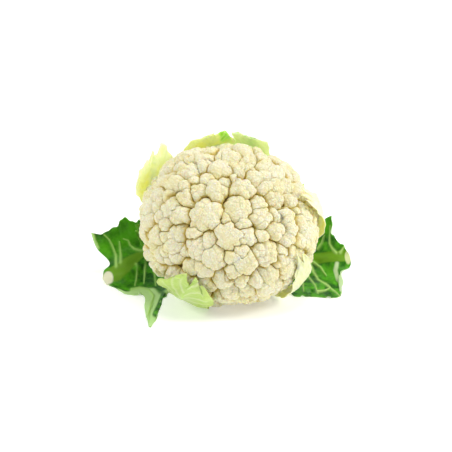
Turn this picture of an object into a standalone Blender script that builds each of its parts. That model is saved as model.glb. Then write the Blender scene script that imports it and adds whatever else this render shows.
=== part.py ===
"""A whole cauliflower, resting tilted on a table: the curd with its florets, the cut stem, the
leaves that still hug the curd, and two loose outer leaves tucked under it.

Metres, +Z up. The origin is the centre of the flat spot that the curd rests on, and -Y is the
front. Head axes are (across, up the back, along the crown) from the heart of the curd.
"""

import math

import bmesh
import bpy
import numpy as np

MM = 0.001
GAP = 0.4
SEED = 11

# The photograph, read by eye: pixels across and down, and what a pixel measures at the head.
MM_PER_PIXEL = 0.882
HEART_PIXEL = (229.0, 225.0)
VIEW_ELEVATION = math.radians(22)

# The head: the crown's rise above the table, its lean to the right as seen from the front, and
# the curd's outline as (degrees from the crown, millimetres from the heart).
CROWN_RISE = math.radians(52)
CROWN_LEAN = math.radians(10)
CURD_OUTLINE = (
    (0, 61), (20, 63), (40, 68.5), (60, 76), (75, 80.5), (90, 82.5), (104, 80.5),
    (118, 75), (132, 68), (147, 62), (158, 58.5), (180, 56),
)
CURD_FLATTENING = 0.93
REST_SINK = 2.2
REST_FLORET_WIDTH = 26.0

# Florets cover the curd to this many degrees from the crown. Between them it is this deep.
FLORET_LIMIT = 126.0
FLORET_VALLEY = 8.0
FLORET_FULLNESS = 1.12
FILL_WIDTHS = ((15.0, 20.0), (10.0, 12.5))
KNOB_RISE = 0.34
KNOB_SPACING = 10.5
FILL_KNOB_SPACING = 14.0
MOST_KNOBS = 8

# Florets of the face as (pixels across, pixels down, width in pixels).
FACE_FLORETS = (
    (204, 214, 34), (216, 188, 19), (219, 167, 21), (205, 176, 13), (203, 153, 20), (230, 153, 18),
    (238, 167, 15), (196, 189, 14), (186, 169, 20), (172, 182, 18), (184, 187, 11), (183, 197, 14),
    (169, 207, 20), (178, 216, 18), (155, 193, 13), (147, 206, 18), (144, 223, 14), (156, 216, 11),
    (176, 232, 16), (171, 247, 17), (175, 260, 13), (162, 226, 12), (163, 237, 9), (152, 235, 14),
    (148, 248, 13), (157, 259, 14), (191, 233, 12), (195, 249, 21), (214, 258, 22), (189, 270, 15),
    (203, 272, 15), (229, 236, 27), (207, 241, 12), (221, 281, 17), (246, 265, 22), (231, 257, 13),
    (231, 274, 15), (249, 238, 17), (243, 224, 11), (261, 236, 11), (263, 216, 20), (260, 201, 15),
    (238, 208, 26), (244, 187, 25), (254, 174, 13), (265, 165, 17), (251, 159, 12), (279, 166, 17),
    (268, 188, 11), (278, 198, 17), (291, 184, 16), (276, 213, 11), (278, 232, 15), (267, 254, 25),
    (290, 215, 17), (296, 199, 12), (291, 240, 13), (312, 231, 20), (301, 243, 12), (304, 222, 11),
    (285, 251, 10), (271, 275, 17), (289, 271, 19), (256, 282, 12), (247, 293, 17), (266, 290, 18),
    (230, 295, 17), (243, 303, 12),
)

# The stem: radius, and where it meets the curd and is cut, along the crown axis.
STEM_RADIUS = 20.0
STEM_JOIN = -54.0
STEM_CUT = -66.0
STEM_SIDES = 36

# Leaves on the head: where a rib's inner face runs beside the stem, as (radius, along the axis).
LEAF_ROOT = ((STEM_RADIUS + 0.2, -65.5), (22.8, -60.6), (29.5, -57.4), (41.0, -53.8))
LEAF_BLADE = 1.0
LEAF_CLEARANCE = 0.9
LAYER_STEP = 3.4
FOOT_HALF_WIDTH = 5.3

# name: centre in degrees round the crown (0 right, 90 back), tip in degrees from the crown,
# half width, stand-off of the tip, rib thickness, sway of the tip in degrees, ruffle, layer,
# and how far a tongue of the tip stands up, as a share of the leaf, and where across it.
HEAD_LEAVES = {
    "leaf_top_left": (113, 71, 23, 5.5, 6.0, -4, 2.0, 0, 0.075, -0.62),
    "leaf_top_right": (79, 67, 18, 4.5, 6.0, 3, 2.0, 1, 0.0, 0.0),
    "leaf_upper_left": (152, 75, 25, 9.5, 6.0, -3, 2.4, 0, 0.0, 0.0),
    "leaf_left": (187, 103, 18, 1.0, 5.0, 2, 1.2, 0, 0.0, 0.0),
    "leaf_lower_left": (245, 76, 25, 1.8, 4.5, 9, 1.8, 0, 0.0, 0.0),
    "leaf_lower_right": (324, 71, 14, 0.2, 3.0, 5, 0.6, 0, 0.0, 0.0),
    "leaf_right": (15, 56, 13, 0.9, 3.6, 2, 1.2, 0, 0.0, 0.0),
    "leaf_upper_right": (46.5, 94, 18, 1.0, 6.0, 0, 1.4, 0, 0.0, 0.0),
}

# Outer leaves: rows from the cut stalk end to the tip under the head, each from the upper margin
# to the lower one, as (pixels across, pixels down, millimetres behind the heart).
OUTER_LEAVES = {
    "outer_leaf_left": (
        (
            ((87, 233, 38), (92, 246, 36), (100, 262, 32), (104, 273, 24), (103, 284, 17),
             (112, 289, 8), (116, 291, 4), (118, 292, 3), (120, 293, 2)),
            ((99, 234, 42), (104, 243, 42), (109, 256, 38), (117, 266, 30), (117, 286, 14),
             (121, 290, 7), (126, 294, -3), (127, 296, -5), (128, 298, -8)),
            ((112, 226, 45), (113, 236, 48), (117, 250, 46), (127, 262, 38), (128, 284, 18),
             (132, 288, 10), (136, 291, 3), (137, 294, -3), (138, 297, -9)),
            ((121, 219, 46), (122, 230, 51), (126, 245, 51), (136, 257, 44), (136, 278, 26),
             (141, 286, 15), (145, 290, 5), (144, 295, -4), (143, 299, -12)),
            ((131, 221, 49), (132, 231, 54), (135, 244, 55), (142, 254, 49), (143, 273, 32),
             (148, 285, 15), (152, 291, 1), (149, 303, -26), (146, 317, -58)),
            ((140, 222, 52), (140, 232, 58), (143, 243, 58), (149, 251, 53), (151, 268, 38),
             (156, 283, 20), (160, 297, -10), (158, 307, -33), (154, 324, -74)),
            ((147, 223, 58), (148, 232, 62), (150, 242, 62), (155, 250, 58), (157, 264, 45),
             (162, 279, 27), (166, 293, -2), (165, 300, -14), (161, 306, -25)),
            ((152, 224, 62), (153, 233, 65), (155, 242, 65), (160, 250, 62), (162, 262, 50),
             (167, 276, 34), (169, 287, 10), (167, 294, -3), (165, 300, -12)),
            ((160, 229, 68), (161, 236, 70), (163, 243, 70), (167, 250, 68), (169, 258, 62),
             (172, 268, 50), (173, 278, 34), (172, 284, 20), (171, 288, 12)),
        ),
        3.5, 9.5, 8.5,
    ),
    "outer_leaf_right": (
        (
            ((348, 245, 44), (350, 250, 42), (354, 257, 38), (354, 268, 31), (345, 272, 26),
             (343, 276, 22), (341, 279, 18)),
            ((343, 243, 46), (345, 248, 44), (344, 255, 40), (342, 268, 30), (343, 278, 22),
             (344, 287, 10), (341, 297, -10)),
            ((337, 234, 48), (337, 242, 48), (336, 253, 44), (332, 267, 34), (334, 278, 24),
             (334, 288, 8), (331, 299, -15)),
            ((334, 217, 51), (331, 232, 52), (328, 252, 49), (322, 266, 39), (322, 279, 25),
             (321, 288, 8), (318, 298, -13)),
            ((325, 221, 56), (322, 236, 57), (319, 251, 55), (312, 264, 45), (311, 279, 29),
             (309, 289, 10), (305, 298, -12)),
            ((315, 224, 62), (312, 237, 63), (309, 250, 60), (302, 261, 54), (299, 276, 38),
             (297, 288, 18), (294, 299, -10)),
            ((304, 230, 68), (301, 239, 69), (298, 249, 67), (291, 258, 62), (288, 270, 50),
             (286, 281, 34), (286, 290, 14)),
        ),
        2.5, 8.0, 7.5,
    ),
}
OUTER_ROWS = 20
OUTER_COLUMNS = 17

CREAM = ((0.86, 0.80, 0.60), 0.75)
PALE_STEM = ((0.78, 0.82, 0.60), 0.6)
YOUNG_LEAF = ((0.62, 0.72, 0.34), 0.5)
OLD_LEAF = ((0.13, 0.33, 0.07), 0.45)


def smooth_through(knots, values, at):
    """Values of a smooth curve through (knot, value) pairs, which may be points."""
    knots = np.asarray(knots, float)
    values = np.asarray(values, float).reshape(len(knots), -1)
    slopes = np.gradient(values, knots, axis=0)
    at = np.clip(np.asarray(at, float), knots[0], knots[-1])
    left = np.clip(np.searchsorted(knots, at, side="right") - 1, 0, len(knots) - 2)
    span = (knots[left + 1] - knots[left])[..., None]
    t = (at[..., None] - knots[left][..., None]) / span
    return (
        values[left] * (1 + 2 * t) * (1 - t) ** 2
        + slopes[left] * span * t * (1 - t) ** 2
        + values[left + 1] * t**2 * (3 - 2 * t)
        + slopes[left + 1] * span * t**2 * (t - 1)
    )


def unit(vectors):
    return vectors / np.linalg.norm(vectors, axis=-1, keepdims=True)


def turned(vector, axis, angle):
    """Vector turned about a unit axis by the right-hand rule."""
    axis = np.asarray(axis, float)
    return (
        vector * math.cos(angle)
        + np.cross(axis, vector) * math.sin(angle)
        + axis * np.dot(axis, vector) * (1 - math.cos(angle))
    )


def head_axes():
    """Rows: the head's across, back and crown axes in world directions."""
    towards_viewer = (0.0, -math.cos(VIEW_ELEVATION), math.sin(VIEW_ELEVATION))
    upright = np.array([
        [1.0, 0.0, 0.0],
        [0.0, math.sin(CROWN_RISE), math.cos(CROWN_RISE)],
        [0.0, -math.cos(CROWN_RISE), math.sin(CROWN_RISE)],
    ])
    return np.array([turned(axis, towards_viewer, -CROWN_LEAN) for axis in upright])


def outline_reach(directions):
    """Distance from the heart to the curd's outer outline along each unit direction."""
    round_ones = directions / (1.0, CURD_FLATTENING, 1.0)
    size = np.linalg.norm(round_ones, axis=-1)
    polar = np.degrees(np.arccos(np.clip(round_ones[..., 2] / size, -1, 1)))
    angles, reach = zip(*CURD_OUTLINE)
    return smooth_through(angles, reach, polar)[..., 0] / size


def crown_angle(directions):
    return np.degrees(np.arccos(np.clip(directions[..., 2], -1, 1)))


def even_directions(count):
    """Unit vectors spread evenly by the golden angle."""
    k = np.arange(count) + 0.5
    height = 1 - 2 * k / count
    turn = k * math.pi * (3 - math.sqrt(5))
    ring = np.sqrt(1 - height**2)
    return np.stack([ring * np.cos(turn), ring * np.sin(turn), height], axis=1)


HEAD = head_axes()


def resting_place():
    """Direction of the outline's lowest point, and the heart's place over it."""
    directions = even_directions(20000)
    points = (directions * outline_reach(directions)[:, None]) @ HEAD
    lowest = points[:, 2].argmin()
    heart = -points[lowest]
    heart[2] -= REST_SINK
    return directions[lowest], heart


REST_DIRECTION, HEART = resting_place()


def to_world(points):
    """Head points in millimetres, placed over the table."""
    return points @ HEAD + HEART


def seen_direction(across, down):
    """Head direction of the place on the curd that the photograph shows at a pixel."""
    right = (across - HEART_PIXEL[0]) * MM_PER_PIXEL
    up = (HEART_PIXEL[1] - down) * MM_PER_PIXEL
    sine, cosine = math.sin(VIEW_ELEVATION), math.cos(VIEW_ELEVATION)
    near = np.linspace(110, -30, 561)[:, None]
    points = right * np.array([1.0, 0, 0]) + up * np.array([0, sine, cosine])
    points = (points + near * np.array([0, -cosine, sine])) @ HEAD.T
    outside = np.linalg.norm(points, axis=1) - outline_reach(unit(points))
    crossed = np.nonzero(outside <= 0)[0]
    return unit(points[crossed[0] if len(crossed) else outside.argmin()])


def floret_layout():
    """Unit directions and widths of all florets: the resting one, the face, then a fill."""
    places = [REST_DIRECTION]
    widths = [REST_FLORET_WIDTH]
    for across, down, width in FACE_FLORETS:
        places.append(seen_direction(across, down))
        widths.append(width * MM_PER_PIXEL)
    random = np.random.default_rng(SEED)
    for narrow, wide in FILL_WIDTHS:
        for spot in random.permutation(even_directions(3000)):
            width = random.uniform(narrow, wide)
            if crown_angle(spot) > FLORET_LIMIT - math.degrees(width / 2 / 75):
                continue
            apart = np.arccos(np.clip(np.array(places) @ spot, -1, 1))
            apart = apart * outline_reach(spot)
            if (apart > 0.47 * (np.array(widths) + width)).all():
                places.append(spot)
                widths.append(width)
    return np.array(places), np.array(widths)


def frame_across(axis):
    """Two unit vectors square to a unit axis."""
    helper = np.array([1.0, 0, 0]) if abs(axis[0]) < 0.8 else np.array([0, 1.0, 0])
    first = unit(np.cross(axis, helper))
    return first, np.cross(axis, first)


def knobs_of(axis, width, spacing, random):
    """Centres and radii of the balls that one floret's knobs are, in head millimetres."""
    radius = width / 2 * FLORET_FULLNESS
    centre = axis * (outline_reach(axis) - radius)
    count = int(np.clip(round(1.25 * (width / spacing) ** 2), 1, MOST_KNOBS))
    if count < 3:
        return [centre], [radius]
    first, second = frame_across(axis)
    foot = 1.9 / math.sqrt(count) * radius * 0.62
    rise = KNOB_RISE * foot
    ball = (foot**2 + rise**2) / (2 * rise)
    centres, radii = [centre], [radius - rise]
    start = random.uniform(0, 2 * math.pi)
    for k in range(count):
        tilt = math.acos(1 - 1.12 * (k + (0.5 if count > 5 else 0.75)) / count)
        turn = start + k * math.pi * (3 - math.sqrt(5)) + random.uniform(-0.2, 0.2)
        out = axis * math.cos(tilt) + math.sin(tilt) * (
            first * math.cos(turn) + second * math.sin(turn)
        )
        centres.append(centre + out * (radius - ball))
        radii.append(ball)
    return centres, radii


def curd_reach(directions, centres, radii):
    """Distance from the heart to the curd's surface: the furthest ball, valley or flat cut."""
    along = directions @ centres.T
    inside = along**2 - (centres**2).sum(1) + radii**2
    hits = np.where(inside > 0, along + np.sqrt(np.maximum(inside, 0)), 0).max(1)
    outer = outline_reach(directions)
    under = np.clip((crown_angle(directions) - FLORET_LIMIT + 12) / 14, 0, 1)
    reach = np.maximum(np.minimum(hits, outer), outer - FLORET_VALLEY * (1 - under) - 0.4)
    down = (directions @ HEAD)[:, 2]
    reach = np.where(down < 0, np.minimum(reach, -HEART[2] / np.minimum(down, -1e-9)), reach)
    behind = directions[:, 2]
    flat = STEM_JOIN / np.minimum(behind, -1e-9)
    return np.where(behind < 0, np.minimum(reach, flat), reach)


def make_object(name, points, faces, material, smooth_angle=50):
    """A mesh object from world millimetres."""
    mesh = bpy.data.meshes.new(name)
    mesh.from_pydata((np.asarray(points) * MM).tolist(), [], [list(map(int, f)) for f in faces])
    mesh.validate()
    colour, roughness = material
    finish = bpy.data.materials.new(name)
    finish.use_nodes = True
    shader = finish.node_tree.nodes["Principled BSDF"]
    shader.inputs["Base Color"].default_value = (*colour, 1.0)
    shader.inputs["Roughness"].default_value = roughness
    shader.inputs["Metallic"].default_value = 0.0
    mesh.materials.append(finish)
    mesh.shade_smooth()
    mesh.set_sharp_from_angle(angle=math.radians(smooth_angle))
    made = bpy.data.objects.new(name, mesh)
    bpy.context.scene.collection.objects.link(made)
    return made


def hull_triangles(directions):
    """Triangles of the convex hull of points on a sphere, facing out: their neighbours."""
    shell = bmesh.new()
    for index, place in enumerate(directions):
        shell.verts.new(place).index = index
    shell.verts.ensure_lookup_table()
    made = bmesh.ops.convex_hull(shell, input=shell.verts)
    bmesh.ops.triangulate(shell, faces=shell.faces)
    triangles = [[v.index for v in face.verts] for face in shell.faces]
    shell.free()
    assert made
    corners = np.array(triangles)
    a, b, c = (directions[corners[:, i]] for i in range(3))
    outward = np.einsum("ij,ij->i", np.cross(b - a, c - a), a + b + c) > 0
    corners[~outward] = corners[~outward][:, ::-1]
    return corners


def lowest_between(starts, ends, centres, radii):
    """Direction of the lowest place on the way from each start to its end."""
    share = np.linspace(0.36, 0.64, 9)[:, None, None]
    steps = unit(starts * (1 - share) + ends * share)
    heights = np.stack([curd_reach(step, centres, radii) - outline_reach(step) for step in steps])
    return steps[heights.argmin(0), np.arange(len(starts))]


def build_curd():
    """The curd: a cell for each knob, low at the creases it shares with its neighbours."""
    places, widths = floret_layout()
    random = np.random.default_rng(SEED + 1)
    centres, radii, cells = [], [], []
    for k, (place, width) in enumerate(zip(places, widths)):
        in_view = k <= len(FACE_FLORETS)
        spacing = KNOB_SPACING if in_view else FILL_KNOB_SPACING
        balls, sizes = knobs_of(place, width, spacing, random)
        centres += balls
        radii += sizes
        if len(balls) == 1:
            cells.append((*place, 1))
            continue
        for ball in balls[1:]:
            top = unit(balls[0] + unit(ball - balls[0]) * width * 0.42)
            cells.append((*top, in_view))
    centres, radii = np.array(centres), np.array(radii)
    under = even_directions(220)
    cells += [(*place, 0) for place in under[crown_angle(under) > FLORET_LIMIT - 1]]
    cells = np.array(cells)
    keep = []
    for k, cell in enumerate(cells):
        if all(np.dot(cell[:3], cells[j, :3]) < math.cos(3.6 / 75) for j in keep):
            keep.append(k)
    ringed = cells[keep, 3] > 0
    cells = unit(cells[keep, :3])

    corners = hull_triangles(cells)
    sides = np.concatenate([corners[:, [0, 1]], corners[:, [1, 2]], corners[:, [2, 0]]])
    edges = np.unique(np.sort(sides, axis=1), axis=0)
    edge_of = {tuple(edge): k for k, edge in enumerate(edges)}
    creases = lowest_between(cells[edges[:, 0]], cells[edges[:, 1]], centres, radii)
    joints = unit(cells[corners].sum(1))

    directions = [cells, creases, joints]
    crease_at, joint_at = len(cells), len(cells) + len(creases)
    inner_at = joint_at + len(joints)
    inner, inner_of = [], {}
    for k, (i, j) in enumerate(edges):
        for cell in (i, j):
            if ringed[cell]:
                inner_of[(cell, k)] = inner_at + len(inner)
                inner.append(unit(0.47 * cells[cell] + 0.53 * creases[k]))
    directions = np.concatenate([*directions, np.array(inner)])

    faces = []
    for t, triangle in enumerate(corners):
        for turn in range(3):
            i, j, k = np.roll(triangle, -turn)
            first = edge_of[tuple(sorted((i, j)))]
            last = edge_of[tuple(sorted((i, k)))]
            joint = joint_at + t
            if not ringed[i]:
                faces += [(i, crease_at + first, joint), (i, joint, crease_at + last)]
                continue
            a, b = inner_of[(i, first)], inner_of[(i, last)]
            faces += [
                (i, a, b),
                (a, crease_at + first, joint),
                (a, joint, b),
                (b, joint, crease_at + last),
            ]
    reach = curd_reach(directions, centres, radii)
    points = to_world(directions * reach[:, None])
    return make_object("curd", points, faces, CREAM)


def build_stem():
    """The cut stem: a short lobed stump with a bevelled rim."""
    turn = np.linspace(0, 2 * math.pi, STEM_SIDES, endpoint=False)
    lobes = 1 + 0.018 * np.sin(5 * turn + 0.4) + 0.012 * np.sin(9 * turn)
    radius = STEM_RADIUS - 0.7
    rings = (
        (STEM_JOIN - GAP, radius * 0.97), (STEM_JOIN - 5, radius),
        (STEM_CUT + 1.2, radius), (STEM_CUT, radius - 1.2),
    )
    points = [
        np.stack([size * lobes * np.cos(turn), size * lobes * np.sin(turn) * CURD_FLATTENING,
                  np.full(STEM_SIDES, along)], axis=1)
        for along, size in rings
    ]
    points = to_world(np.concatenate(points))
    n = STEM_SIDES
    faces = [range(n)]
    for ring in range(len(rings) - 1):
        for k in range(n):
            a, b = ring * n + k, ring * n + (k + 1) % n
            faces += [(b, a, a + n), (b, a + n, b + n)]
    faces.append(range(len(points) - 1, len(points) - 1 - n, -1))
    return make_object("stem", points, faces, PALE_STEM)


def sheet_solid(inner, outer):
    """Points and triangles of a closed sheet from two like grids (rows, columns, 3)."""
    rows, columns = inner.shape[:2]
    points = np.concatenate([inner.reshape(-1, 3), outer.reshape(-1, 3)])
    step = rows * columns
    faces = []
    for r in range(rows - 1):
        for c in range(columns - 1):
            a, b = r * columns + c, r * columns + c + 1
            d, e = a + columns, b + columns
            faces += [(a, e, b), (a, d, e), (step + a, step + b, step + e), (step + a, step + e, step + d)]
    rim = (
        [c for c in range(columns)]
        + [r * columns + columns - 1 for r in range(1, rows)]
        + [(rows - 1) * columns + c for c in range(columns - 2, -1, -1)]
        + [r * columns for r in range(rows - 2, 0, -1)]
    )
    for a, b in zip(rim, rim[1:] + rim[:1]):
        faces += [(a, b, step + b), (a, step + b, step + a)]
    return points, faces


def leaf_half_width(s, widest):
    """Half width along a leaf on the head: a narrow foot, a broad blade, a rounded tip."""
    widths = (
        FOOT_HALF_WIDTH, FOOT_HALF_WIDTH, 0.38 * widest, 0.76 * widest, widest,
        0.88 * widest, 0.58 * widest, 0.22 * widest,
    )
    return smooth_through((0, 0.12, 0.28, 0.5, 0.72, 0.88, 0.96, 1), widths, s)[..., 0]


def leaf_path(tip, stand_off, layer):
    """Inner face of a leaf's rib as (radius, along the axis), from the cut foot past the tip.

    Also the way along it, and how far along the tip is.
    """
    angles, reach = zip(*CURD_OUTLINE)
    polar = np.append(np.arange(137.0, tip + 4, -9.0), (tip, tip - 7, tip - 14))
    share = np.clip((polar - 108) / (tip - 108), 0, 1.2)
    clear = LEAF_CLEARANCE + LAYER_STEP * layer + stand_off * share**1.6
    far = smooth_through(angles, reach, polar)[:, 0] + clear
    polar = np.radians(polar)
    points = np.array([*LEAF_ROOT, *zip(far * np.sin(polar), far * np.cos(polar))])
    lengths = np.append(0, np.cumsum(np.linalg.norm(np.diff(points, axis=0), axis=1)))
    return points, lengths, lengths[-3]


def head_leaf_grids(shape, rows, columns):
    """Inner and outer faces of a leaf that hugs the head, as grids in head millimetres."""
    centre, tip, widest, stand_off, rib, sway, ruffle, layer, tongue, tongue_at = shape
    path, lengths, full = leaf_path(tip, stand_off, layer)
    s = np.linspace(0, 1, rows)[:, None] * np.ones(columns)
    v = np.ones((rows, 1)) * np.sin(np.linspace(-0.5, 0.5, columns) * math.pi * 0.86)
    v = v / abs(v[0, 0])
    ragged = 0.045 * np.sin(6 * v + centre) * s**3
    ragged = ragged + tongue * np.exp(-(((v - tongue_at) / 0.24) ** 2)) * s**4
    along = s * full * (1 + ragged)
    middle = smooth_through(lengths, path, along)
    ahead = smooth_through(lengths, path, along + 0.4) - smooth_through(lengths, path, along - 0.4)
    ahead = unit(ahead)
    out = np.stack([-ahead[..., 1], ahead[..., 0]], axis=-1)
    out = np.where((out * middle).sum(-1, keepdims=True) < 0, -out, out)

    half = leaf_half_width(s, widest)
    half = half * (1 + 0.09 * np.sin(21 * s + 2.4 * np.sign(v) + centre) * np.abs(v))
    turn = np.radians(centre + sway * s**2) + v * half / np.maximum(middle[..., 0], 1)
    loose = np.clip((s - 0.35) / 0.65, 0, 1)
    wave = 0.5 + 0.5 * np.sin(9.5 * s + 2.2 * np.sign(v) + centre)
    lift = ruffle * loose * np.abs(v) ** 3 * wave + 0.012 * half**2 / 10 * np.abs(v) ** 2
    thick = LEAF_BLADE + (rib - LEAF_BLADE) * (1 - 0.82 * s**0.8) * np.exp(
        -((v * half / (5.2 - 2.4 * s)) ** 2)
    )

    def placed(offset):
        radius = middle[..., 0] + out[..., 0] * offset
        return np.stack([
            radius * np.cos(turn), CURD_FLATTENING * radius * np.sin(turn),
            middle[..., 1] + out[..., 1] * offset,
        ], axis=-1)

    return placed(lift), placed(lift + thick)


def lifted_off_table(inner, outer):
    """Both faces raised wherever the outer one would be below the table."""
    lift = np.zeros_like(outer)
    lift[..., 2] = np.maximum(-np.minimum(outer[..., 2], inner[..., 2]), 0)
    return inner + lift, outer + lift


def build_head_leaf(name, shape):
    inner, outer = (to_world(grid) for grid in head_leaf_grids(shape, 16, 11))
    inner, outer = lifted_off_table(inner, outer)
    points, faces = sheet_solid(inner, outer)
    return make_object(name, points, faces, YOUNG_LEAF)


def seen_points(net):
    """World points of (pixels across, pixels down, millimetres behind the heart)."""
    right = (net[..., 0] - HEART_PIXEL[0]) * MM_PER_PIXEL
    up = (HEART_PIXEL[1] - net[..., 1]) * MM_PER_PIXEL
    back = net[..., 2]
    height = (up - back * math.sin(VIEW_ELEVATION)) / math.cos(VIEW_ELEVATION)
    return np.stack([right, back, height], axis=-1) + HEART


def surface_normals(grid):
    along = np.gradient(grid, axis=0)
    across = np.gradient(grid, axis=1)
    return unit(np.cross(across, along))


def build_outer_leaf(name, net, rib_at, rib_width, rib_depth):
    """A loose leaf: a waved blade on a thick rib, lying on the table beside the head."""
    net = seen_points(np.array(net, float))
    rows, columns = net.shape[:2]
    u = np.linspace(0, rows - 1, OUTER_ROWS)
    v = np.linspace(0, columns - 1, OUTER_COLUMNS)
    grid = smooth_through(np.arange(rows), net.reshape(rows, -1), u)
    grid = grid.reshape(OUTER_ROWS, columns, 3).swapaxes(0, 1)
    grid = smooth_through(np.arange(columns), grid.reshape(columns, -1), v)
    grid = grid.reshape(OUTER_COLUMNS, OUTER_ROWS, 3).swapaxes(0, 1)

    normals = surface_normals(grid)
    viewer = np.array([0, -math.cos(VIEW_ELEVATION), math.sin(VIEW_ELEVATION)])
    if (normals @ viewer).mean() < 0:
        normals = -normals
    edge = np.abs(np.linspace(-1, 1, OUTER_COLUMNS)) ** 4
    wave = np.sin(u * 3.6)[:, None] * edge * 1.6
    grid = grid + normals * wave[..., None]

    reach = np.concatenate([np.zeros((OUTER_ROWS, 1)), np.cumsum(
        np.linalg.norm(np.diff(grid, axis=1), axis=2), axis=1)], axis=1)
    centre = np.array([np.interp(rib_at, v, row) for row in reach])[:, None]
    taper = np.linspace(1, 0.35, OUTER_ROWS)[:, None]
    rib = np.exp(-(((reach - centre) / (rib_width * taper)) ** 2) * 2.2) * taper
    upper = grid + normals * (LEAF_BLADE / 2 + 0.25 * rib_depth * rib)[..., None]
    lower = grid - normals * (LEAF_BLADE / 2 + 0.75 * rib_depth * rib)[..., None]
    upper, lower = lifted_off_table(upper, lower)
    lowest = min(upper[..., 2].min(), lower[..., 2].min())
    upper[..., 2] -= lowest
    lower[..., 2] -= lowest
    points, faces = sheet_solid(lower, upper)
    made = make_object(name, points, faces, OLD_LEAF)
    return made


def face_outwards(made):
    """Turn a closed mesh inside out if its faces point inwards."""
    mesh = bmesh.new()
    mesh.from_mesh(made.data)
    if mesh.calc_volume(signed=True) < 0:
        bmesh.ops.reverse_faces(mesh, faces=mesh.faces)
    mesh.to_mesh(made.data)
    mesh.free()


def main():
    for old in list(bpy.data.objects):
        bpy.data.objects.remove(old)
    build_curd()
    build_stem()
    for name, shape in HEAD_LEAVES.items():
        build_head_leaf(name, shape)
    for name, (net, rib_at, rib_width, rib_depth) in OUTER_LEAVES.items():
        build_outer_leaf(name, net, rib_at, rib_width, rib_depth)
    for made in bpy.data.objects:
        face_outwards(made)


if __name__ == "__main__":
    main()
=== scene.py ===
"""A whole cauliflower, dressed for its portrait: the fine curd over its florets, the cut stem,
the young leaves that hug the curd and the two loose outer leaves, on a pale table.

Sizes are in millimetres unless a name says otherwise. Head axes are (across, up the back, along
the crown) from the heart of the curd; world axes are the frame's. Colours are as on a screen,
0 to 255, but for those of the table and lamps. A Spot is a row of pixels and measures.
"""

from __future__ import annotations

import logging
import math
from dataclasses import dataclass, field
from enum import Enum

import bpy
import numpy as np
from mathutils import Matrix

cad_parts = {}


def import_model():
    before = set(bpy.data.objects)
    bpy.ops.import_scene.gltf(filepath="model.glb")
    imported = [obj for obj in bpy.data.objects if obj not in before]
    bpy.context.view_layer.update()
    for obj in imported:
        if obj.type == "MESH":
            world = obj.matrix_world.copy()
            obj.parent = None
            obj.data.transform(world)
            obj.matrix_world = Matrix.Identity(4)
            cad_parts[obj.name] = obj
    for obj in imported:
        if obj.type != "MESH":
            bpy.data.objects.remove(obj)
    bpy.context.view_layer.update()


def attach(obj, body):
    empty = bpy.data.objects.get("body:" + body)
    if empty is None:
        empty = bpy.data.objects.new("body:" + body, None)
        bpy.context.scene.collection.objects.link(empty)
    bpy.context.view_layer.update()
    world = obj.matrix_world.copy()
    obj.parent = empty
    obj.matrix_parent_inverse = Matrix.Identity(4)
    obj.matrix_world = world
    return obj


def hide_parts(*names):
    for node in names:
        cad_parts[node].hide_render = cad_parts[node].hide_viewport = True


MM = 0.001
FAR = 1e3
LOG = logging.getLogger("cauliflower")

Array = np.ndarray
Colour = tuple[float, float, float]
Spot = tuple[float, ...]
Socket = bpy.types.NodeSocket
Piece = bpy.types.Object


def smooth_through(knots: Array, values: Array, at: Array) -> Array:
    """Values of a smooth curve through (knot, value) pairs.

    Args:
        knots: Rising places along the curve.
        values: One value or point for each knot.
        at: Places to read, of any shape.

    Returns:
        The shape of at, with the value's own axis last.
    """
    knots = np.asarray(knots, float)
    values = np.asarray(values, float).reshape(len(knots), -1)
    slopes = np.gradient(values, knots, axis=0)
    at = np.clip(np.asarray(at, float), knots[0], knots[-1])
    left = np.clip(np.searchsorted(knots, at, side="right") - 1, 0, len(knots) - 2)
    span = (knots[left + 1] - knots[left])[..., None]
    t = (at[..., None] - knots[left][..., None]) / span
    return (
        values[left] * (1 + 2 * t) * (1 - t) ** 2
        + slopes[left] * span * t * (1 - t) ** 2
        + values[left + 1] * t**2 * (3 - 2 * t)
        + slopes[left + 1] * span * t**2 * (t - 1)
    )


def unit(vectors: Array) -> Array:
    """Vectors of length one."""
    return vectors / np.maximum(np.linalg.norm(vectors, axis=-1, keepdims=True), 1e-12)


def turned(vector: Array, axis: Array, angle: float) -> Array:
    """A vector turned about a unit axis by the right-hand rule.

    Args:
        vector: The vector.
        axis: The unit axis.
        angle: In radians.

    Returns:
        The turned vector.
    """
    axis = np.asarray(axis, float)
    return (
        vector * math.cos(angle)
        + np.cross(axis, vector) * math.sin(angle)
        + axis * np.dot(axis, vector) * (1 - math.cos(angle))
    )


def ramp(values: Array, low: float, high: float) -> Array:
    """A smooth rise from 0 at low to 1 at high."""
    t = np.clip((values - low) / (high - low), 0, 1)
    return t * t * (3 - 2 * t)


def bell(values: Array) -> Array:
    """1 at 0, and almost nothing by 2 on both sides."""
    return np.exp(-(values**2))


def golden_turns(numbers: Array) -> Array:
    """Whole or broken numbers of turns by the golden angle."""
    return numbers * math.pi * (3 - math.sqrt(5))


def from_crown(directions: Array) -> Array:
    """Degrees between unit directions and the crown's axis."""
    return np.degrees(np.arccos(np.clip(directions[:, 2], -1, 1)))


def even_directions(count: int) -> Array:
    """Unit vectors spread evenly by the golden angle.

    Args:
        count: How many.

    Returns:
        One row for each direction.
    """
    k = np.arange(count) + 0.5
    height = 1 - 2 * k / count
    turn = golden_turns(k)
    ring = np.sqrt(1 - height**2)
    return np.stack([ring * np.cos(turn), ring * np.sin(turn), height], axis=1)


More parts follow.
